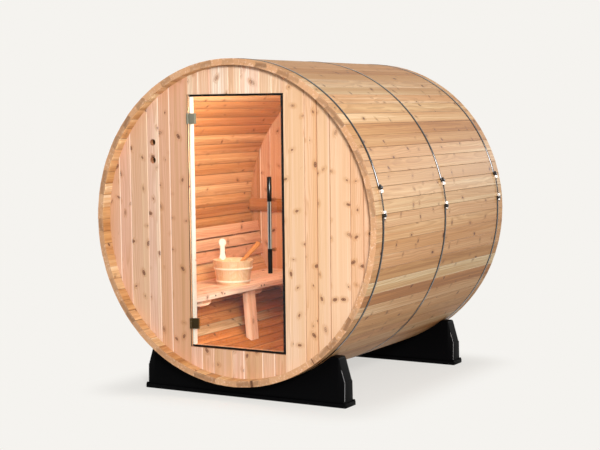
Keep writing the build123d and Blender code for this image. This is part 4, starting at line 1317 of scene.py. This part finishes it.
# %% What carries the seat
BEARER_W, NOSE = 89 * MM, 20 * MM
BEARER_UNDER = face_of("bench_bearers", LOW, Z) - HAIR
BEARER_END = face_of("bench_bearers", HIGH, Y) - BEARER_W / 2
bearer_z, bearer_thick = (SEAT_UNDER + BEARER_UNDER) / 2, SEAT_UNDER - BEARER_UNDER
pile = Pile()
for y in (-BEARER_END, 64 * MM, BEARER_END):
    rings = []
    for x, lift in ((BENCH_FRONT, NOSE - 2 * MM), (BENCH_FRONT - NOSE, 0.0), (-0.7, 0.0)):
        rings.append([])
        for u, v in rounded(BEARER_W, bearer_thick, 3 * MM):
            height = max(bearer_z + v, BEARER_UNDER + lift)
            rings[-1].append(Vector((x, y + u, height)))
    rings[-1] = [to_staves(point, Vector((-1, 0, 0))) for point in rings[-1]]
    pile.loft(rings, ((1, 0, 0), (0, 1, 0), (0, 0, 1)), places=INDOORS, tone=0.85)
pile.build("bench_bearer_planks", bench_cedar, ["bench_bearers"])
pile = Pile()
head = Vector((BENCH_FRONT - 19 * MM, middle_of("bench_leg", Y), SEAT_UNDER))
foot = head + Vector((24 * MM, 0, -301 * MM))
pile.plank(head, foot, (1, 0, 0.08), BEARER_W, 38 * MM, 3 * MM, (to_seat, to_staves), tone=0.7)
pile.build("bench_leg_plank", bench_cedar, ["bench_leg"])
print(f"the leg's top is {head.z:.3f} m above the ground")

# %% [markdown]
# ## Backrest and batten
#
# Three slats lean against three short battens on the curve of the barrel. The slats get lighter
# upwards. A wide batten ties the boards of the back wall; its ends follow the curve too.

# %% Slats and battens
BACKREST_FOOT = Vector((face_of("backrest_slats", HIGH, X) + HAIR, 0, SEAT_TOP + 104 * MM))
LEAN = radians(11.23)
SLAT, SLAT_PITCH, SLAT_THICK = 70 * MM, 78 * MM, 20 * MM
SLAT_TONES = (0.55, 0.75, 0.9)
up, behind = Vector((-sin(LEAN), 0, cos(LEAN))), Vector((-cos(LEAN), 0, -sin(LEAN)))
pile = Pile()
for slat, tone in enumerate(SLAT_TONES):
    middle = BACKREST_FOOT + up * (slat * SLAT_PITCH + SLAT / 2) + behind * SLAT_THICK / 2
    ends = [middle + Vector((0, y, 0)) for y in (-Y_END, Y_END)]
    pile.plank(*ends, behind, SLAT, SLAT_THICK, 4 * MM, tone=tone)
pile.build("backrest_slat_planks", wall_cedar, ["backrest_slats"])
pile = Pile()
high = 2 * SLAT_PITCH + SLAT
for y in (-BEARER_END, 0.0, BEARER_END):
    front = BACKREST_FOOT + up * high / 2 + behind * SLAT_THICK + Vector((0, y, 0))
    pile.plank(front, front + behind * 20 * MM, up, 60 * MM, high, 2 * MM, (None, to_staves))
pile.build("backrest_batten_blocks", bench_cedar, ["backrest_battens"])


def to_staves_behind(point, along):
    """Trims the first end of a plank to the staves."""
    return to_staves(point, -along)


pile = Pile()
middle = Vector((0, middle_of("back_wall_batten", Y), middle_of("back_wall_batten", Z)))
left, right = middle - Vector((0.8, 0, 0)), middle + Vector((0.8, 0, 0))
pile.plank(left, right, (0, 1, 0), 86 * MM, 20 * MM, 3 * MM, (to_staves_behind, to_staves), tone=-0.25)
pile.build("back_wall_batten_plank", stave_cedar, ["back_wall_batten"])
print(f"the backrest is {high / MM:.0f} mm high and leans {LEAN / radians(1):.1f} degrees")

# %% [markdown]
# ## Bucket
#
# The bucket is coopered from sixteen staves round a flat base. It gets wider upwards, so each stave
# is a wedge between two angles, lofted from foot to rim, with its ends eased. Planed aspen is pale
# and even, with hardly a ring to see. The grip and the hoops are bleached and look nearly white.

# %% Bucket staves and base
pale_wood = cedar(
    "aspen_bucket_planed", ["#E8C4A0", "#EECEAC", "#F4DABE"], late="#D8A468", knot="#C08850", rim="#A87040",
    groove="#C89058", end="#E0B078", knot_size=9 * MM,
)
white_wood = cedar(
    "aspen_grip_bleached", ["#FFF6EE", "#FFFFFF"], late="#F4E4D0", knot="#D8B888", rim="#C8A070",
    groove="#E0BC90", end="#F0D8B8", knot_size=8 * MM,
)
STAND = Vector((BENCH_FRONT - 106 * MM, -63 * MM, SEAT_TOP))
BASE_R, RIM_R, BUCKET_H, SIDE = 101 * MM, 125 * MM, 152 * MM, 12 * MM
BUCKET_STAVES = 16


def bucket_r(rise):
    """The bucket's outer radius at a height over its foot."""
    return BASE_R + (RIM_R - BASE_R) * rise / BUCKET_H


pile = Pile()
for stave in range(BUCKET_STAVES):
    angles = [(stave + (0.012 + 0.976 * k / 5)) * 2 * pi / BUCKET_STAVES for k in range(6)]
    rings = []
    for rise, ease in ((0, 1.0 * MM), (1 * MM, 0), (BUCKET_H - 1.5 * MM, 0), (BUCKET_H, 1.2 * MM)):
        ring = [(a, bucket_r(rise) - ease) for a in angles]
        ring[0], ring[-1] = ((a, far - 0.5 * MM) for a, far in (ring[0], ring[-1]))
        ring += [(a, bucket_r(rise) - SIDE + ease) for a in reversed(angles)]
        rings.append([STAND + Vector((cos(a) * far, sin(a) * far, rise)) for a, far in ring])
    turn = (stave + 0.5) * 2 * pi / BUCKET_STAVES
    axes = ((0, 0, 1), (-sin(turn), cos(turn), 0), (cos(turn), sin(turn), 0))
    pile.loft(rings, axes, places=INDOORS, ends=INDOORS)
base = [(0, BASE_R - SIDE + 1 * MM), (10 * MM, BASE_R - SIDE + 1.5 * MM)]
pile.turned(STAND + Vector((0, 0, 2 * MM)), (0, 0, 1), base, sides=48, places=INDOORS)
print("bucket staves:", BUCKET_STAVES)

# %% [markdown]
# ## Grip
#
# One stave runs on above the rim as a grip: a neck that gets narrower in a curve, and a round head.
# Half of its outline is worked out and mirrored. A grip is held in the hand, so its edges are
# rounded on both sides: the outermost rings of the loft are drawn in along the whole edge.

# %% Grip stave
GRIP_TURN = radians(157)
GRIP_FOOT, GRIP_TOP, HEAD_R, NECK, SHOULDER = -34 * MM, 122 * MM, 26 * MM, 15.5 * MM, 44 * MM
out, sideways = Vector((cos(GRIP_TURN), sin(GRIP_TURN), 0)), Vector((-sin(GRIP_TURN), cos(GRIP_TURN), 0))
root = STAND + out * (RIM_R - 7 * MM) + Vector((0, 0, BUCKET_H))
neck_length = GRIP_TOP - 1.8 * HEAD_R - GRIP_FOOT
right_side = []
for step in range(13):
    climb = neck_length * step / 12
    left_over = 1 - min(climb / (78 * MM), 1.0)
    right_side.append((NECK + (SHOULDER - NECK) * left_over**1.9, GRIP_FOOT + climb))
for turn in (radians(-53 + 143 * step / 15) for step in range(1, 16)):
    right_side.append((HEAD_R * cos(turn), GRIP_TOP - HEAD_R + HEAD_R * sin(turn)))
right_side[-1] = (0.5 * MM, GRIP_TOP)
shape = [Vector(point) for point in right_side + [(-w, z) for w, z in reversed(right_side)]]
pile.slot = 1
rings = []
for deep, ease in ((-7, 2.4), (-6.2, 0.8), (-4.6, 0), (4.6, 0), (6.2, 0.8), (7, 2.4)):
    ring = []
    for k, spot in enumerate(shape):
        edge = (shape[(k + 1) % len(shape)] - shape[k - 1]).normalized()
        w, z = spot + Vector((-edge.y, edge.x)) * ease * MM
        ring.append(root + sideways * w + Vector((0, 0, z)) + out * deep * MM)
    rings.append(ring)
pile.loft(rings, ((0, 0, 1), sideways, out), places=INDOORS, ends=INDOORS, tone=0.9)
pile.build("bucket_staves", [pale_wood, white_wood], ["bucket"])
print(f"the grip stands {GRIP_TOP / MM:.0f} mm over the rim")

# %% [markdown]
# ## Hoops
#
# Two bleached wooden laths hold the staves. They are loops: the last ring joins the first one.

# %% Hoop laths
LATH_W, LATH_THICK = 10 * MM, 3.8 * MM
pile = Pile()
for foot in (18 * MM, 96 * MM):
    rings = []
    for turn in (2 * pi * k / 72 for k in range(72)):
        ring = []
        for u, v in rounded(LATH_THICK, LATH_W, 1.2 * MM, 2):
            rise = foot + LATH_W / 2 + v
            far = bucket_r(rise) + 2.1 * MM + u
            ring.append(STAND + Vector((cos(turn) * far, sin(turn) * far, rise)))
        rings.append(ring)
    pile.loft(rings, places=INDOORS, loop=True, tone=0.8)
pile.build("bucket_hoop_laths", white_wood, ["bucket_hoops"])
print("the upper hoop is", round(2 * bucket_r(101 * MM) / MM), "mm wide inside")

# %% [markdown]
# ## Ladle
#
# The ladle lies in the bucket: a turned bowl on a stick that rests on the rim. The stick starts
# round at the bowl and gets wider and flatter towards the hand, which is a loft of ovals. The bowl
# is one profile for the lathe, up its outside, over the rim and down its inside. Oiled alder is
# much darker than the bucket.

# %% Bowl and stick
ladle_wood = cedar(
    "alder_ladle_oiled", ["#B8763E", "#C6884C", "#D49C60"], late="#A86428", knot="#905020", rim="#784018",
    groove="#8A5020", end="#B87838", knot_size=7 * MM,
)
LADLE_TURN, LADLE_PITCH = radians(71), radians(38)
CUP = ((0, 30), (2, 34.5), (6, 37.8), (12, 39), (39.2, 39), (40, 38.2), (40, 35), (39, 34), (14, 34), (9, 32),
       (5.5, 27))  # up from the base and out from the axis, in mm
STICK = ((36, 8, 7), (60, 10, 8), (200, 14, 9), (272, 16.5, 9.5), (284, 16, 9), (291, 12, 7.5), (294, 6, 5))
level = Vector((cos(LADLE_TURN), sin(LADLE_TURN), 0))
stick_way = level * cos(LADLE_PITCH) + Vector((0, 0, sin(LADLE_PITCH)))
bowl_up = Vector((0, 0, cos(LADLE_PITCH))) - level * sin(LADLE_PITCH)
bowl = STAND - level * 18.1 * MM + Vector((0, 0, 63.9 * MM))
cup = [(far * MM, radius * MM) for far, radius in CUP]
pile = Pile()
pile.turned(bowl - bowl_up * 35 * MM, bowl_up, cup, sides=40, places=INDOORS)
broad = stick_way.cross(Vector((-0.5, 0.86, -0.08))).normalized()
flat = broad.cross(stick_way)
turns = [2 * pi * k / 28 for k in range(28)]
rings = []
for far, wide, deep in STICK:  # along the stick, and half its width and thickness there, in mm
    ovals = (broad * wide * cos(turn) + flat * deep * sin(turn) for turn in turns)
    rings.append([bowl + (stick_way * far + oval) * MM for oval in ovals])
pile.loft(rings, (stick_way, broad, flat), places=INDOORS, ends=INDOORS)
pile.build("ladle_turned", ladle_wood, ["ladle"])
print("construction nodes still shown:", [name for name, node in nodes.items() if not node.hide_render])

# %% [markdown]
# ## Floor
#
# The sauna stands on white studio paper, which runs out of sight without an edge. Such a floor is
# lit until it glows, so the view shows even white. Close to the cradles a matt surface is mixed in,
# which keeps the shadow of the sauna. For the light that it throws back on the barrel the floor is
# a grey carpet, since white paper would wash out the underside.

# %% Studio paper
PAPER, REACH = "#F5F3EF", 30.0
mesh = bpy.data.meshes.new("floor")
corners = [(sx * REACH, sy * REACH, 0) for sx, sy in ((-1, -1), (1, -1), (1, 1), (-1, 1))]
mesh.from_pydata(corners, [], [(0, 1, 2, 3)])
floor = bpy.data.objects.new("floor", mesh)
bpy.context.scene.collection.objects.link(floor)
paper, tree = fresh("floor_paper")
position = add(tree, "TexCoord").outputs["Object"]
away = add(tree, "VectorMath", (position,), operation="ABSOLUTE")
away = add(tree, "VectorMath", (away, (0.66, 0.80, 0.0)), operation="SUBTRACT")
away = add(tree, "VectorMath", (away, (0.0, 0.0, 0.0)), operation="MAXIMUM")
away = add(tree, "VectorMath", (away,), operation="LENGTH").outputs["Value"]
near = add(tree, "MapRange", {"Value": away, "From Min": 0.45, "From Max": 0.0, "To Max": 0.34},
           interpolation_type="SMOOTHERSTEP")
lit = add(tree, "BsdfDiffuse", {"Color": colour("#E6E6E4")})
glow = add(tree, "Emission", {"Color": colour(PAPER), "Strength": 1.0})
carpet = add(tree, "BsdfDiffuse", {"Color": colour("#8E8A84")})
rays = add(tree, "LightPath").outputs
looked_at = add(tree, "Math", (rays["Is Camera Ray"], rays["Is Glossy Ray"]), operation="MAXIMUM")
seen = add(tree, "MixShader", (near, glow, lit))
surface = add(tree, "MixShader", (looked_at, carpet, seen))
add(tree, "OutputMaterial", (surface,))
mesh.materials.append(paper)
print(f"floor {2 * REACH:.0f} m wide")

# %% [markdown]
# ## Room
#
# The same white closes the view behind the sauna, and mirrors and glass show it too. The light that
# it gives is a third as strong, so that the lamps do the work.

# %% World
world = bpy.data.worlds.new("room")
bpy.context.scene.world = world
world.use_nodes = True
tree = world.node_tree
tree.nodes.clear()
rays = add(tree, "LightPath").outputs
looked_at = add(tree, "Math", (rays["Is Camera Ray"], rays["Is Glossy Ray"]), operation="MAXIMUM")
looked_at = add(tree, "Math", (looked_at, rays["Is Transmission Ray"]), operation="MAXIMUM")
room = add(tree, "Background", {"Color": colour("#FFFFFF"), "Strength": 0.34})
backdrop = add(tree, "Background", {"Color": colour(PAPER), "Strength": 1.0})
light = add(tree, "MixShader", (looked_at, room, backdrop))
add(tree, "OutputWorld", (light,))
print(f"the room lights the sauna with strength {room.inputs['Strength'].default_value:.2f}")

# %% [markdown]
# ## Lamps outdoors
#
# The key light is a small softbox, low on the right, so the side of the barrel is brighter than its
# top, and the ring of staves throws a crisp shadow on the front wall. A larger and slightly warm one
# beside it softens the turn of the barrel. A weak fill on the left opens the shadows. The top light
# is warm and faint. The rim light behind the barrel is there for the steel alone: it is what the
# bands mirror just above the lugs, and matt wood gets nothing from it.


# %% Softboxes
def lamp(name, place, target, size, watts, tint="#FFFFFF", mirrored=True, spread=180, matt=True):
    """A square soft lamp that faces a point. mirrored says whether polished parts reflect it, and
    matt whether it also lights dull surfaces."""
    light = bpy.data.lights.new(name, "AREA")
    light.size = size
    light.energy = watts
    light.color = colour(tint)[:3]
    light.spread = radians(spread)
    holder = bpy.data.objects.new(name, light)
    holder.location = place
    holder.rotation_euler = (Vector(target) - Vector(place)).to_track_quat("-Z", "Y").to_euler()
    holder.visible_glossy = mirrored
    holder.visible_diffuse = matt
    holder.visible_transmission = holder.visible_camera = False
    bpy.context.scene.collection.objects.link(holder)
    return light


lamp("key_softbox", (4.35, -6.2, 2.75), (0.2, 0, 0.95), 0.9, 515)
lamp("side_softbox", (6.0, -3.5, 3.6), (0.2, 0, 0.95), 2.5, 68, "#FFF0DA")
lamp("fill_softbox", (-3.5, -7.0, 3.0), (0, 0, 0.9), 4.0, 50, mirrored=False)
lamp("rim_softbox", (3.1, 4.5, 2.5), (0.6, 0, 1.2), 0.9, 85, matt=False)
lamp("top_softbox", (0.6, 0.6, 4.6), (0.2, 0.2, 1.9), 2.5, 26, "#FFE8C0", mirrored=False)
print("lamps outdoors:", len(bpy.data.lights))

# %% [markdown]
# ## Lamps indoors
#
# A sauna lamp is warm, and it sits over the door, out of sight. A faint one low in the doorway
# reaches the staves under the bench, and a narrow cool one grazes the pale lining on the left.

# %% Cabin, doorway and jamb
lamp("cabin_lamp", (0.20, -0.42, 1.68), (-0.55, 0.05, 1.30), 0.3, 19, "#FFEAD6", mirrored=False)
lamp("doorway_lamp", (0.28, -0.68, 0.46), (-0.55, -0.40, 0.24), 0.15, 1.7, "#FFF4E8",
     mirrored=False, spread=50)
jamb_light = lamp("jamb_lamp", (0.27, -0.745, 1.34), (-DOOR_SIDE, -0.775, 1.34), 0.03, 0.8, "#E8F0FF",
                  mirrored=False, spread=45)
jamb_light.shape = "RECTANGLE"
jamb_light.size_y = 0.8
print("lamps in all:", len(bpy.data.lights))

# %% [markdown]
# ## Black cards
#
# A black card in front of the door is the oldest trick for glass: the pane shows the cabin and not
# the bright room. There are three here: an upright one and one on the floor before the door, and a
# long low one on the right that keeps the lower part of the bands dark. Only mirrored rays see
# them, so they throw no shadow.

# %% Flag cards
card = bpy.data.meshes.new("flag_cards")
corners = []
for x0, y0, x1, y1, high in ((-2.4, -3.0, -0.7, -3.0, 2.1), (-0.54, -5.79, 4.39, -3.64, 1.6)):
    corners += [(x0, y0, 0), (x1, y1, 0), (x1, y1, high), (x0, y0, high)]
corners += [(x, y, 4 * MM) for x, y in ((-2.4, -3.0), (0.0, -3.0), (0.1, -1.4), (-2.2, -1.4))]
card.from_pydata(corners, [], [tuple(range(first, first + 4)) for first in (0, 4, 8)])
felt, tree = fresh("flag_card_black_felt")
add(tree, "OutputMaterial", (add(tree, "BsdfDiffuse", {"Color": colour("#020202")}),))
card.materials.append(felt)
flag = bpy.data.objects.new("flag_cards", card)
bpy.context.scene.collection.objects.link(flag)
for ray in ("camera", "diffuse", "transmission", "shadow"):
    setattr(flag, "visible_" + ray, False)
print("black cards:", len(card.polygons))

# %% [markdown]
# ## Camera
#
# The camera stands at eye height in front of the right corner, with a long lens, which keeps the
# circle of the barrel nearly round. It looks down by a few degrees and is rolled by less than one,
# as a camera held by hand is.

# %% Camera
EYE = Vector((4.255, -7.455, 1.636))
YAW, TILT, ROLL = radians(-30.018), radians(-4.757), radians(-0.654)
LENS = 2.3616  # focal length over the sensor's width
ahead = Vector((sin(YAW) * cos(TILT), cos(YAW) * cos(TILT), sin(TILT)))
level = Vector((cos(YAW), -sin(YAW), 0))
upward = level.cross(ahead)
right = cos(ROLL) * level + sin(ROLL) * upward
top = cos(ROLL) * upward - sin(ROLL) * level
lens = bpy.data.cameras.new("camera")
lens.sensor_width = 36
lens.lens = lens.sensor_width * LENS
camera = bpy.data.objects.new("camera", lens)
turn = Matrix((right, top, -ahead)).transposed()
camera.matrix_world = Matrix.Translation(EYE) @ turn.to_4x4()
bpy.context.scene.collection.objects.link(camera)
bpy.context.scene.camera = camera
bpy.context.scene.view_settings.view_transform = "Standard"
print(f"a lens of {lens.lens:.0f} mm")

# %% [markdown]
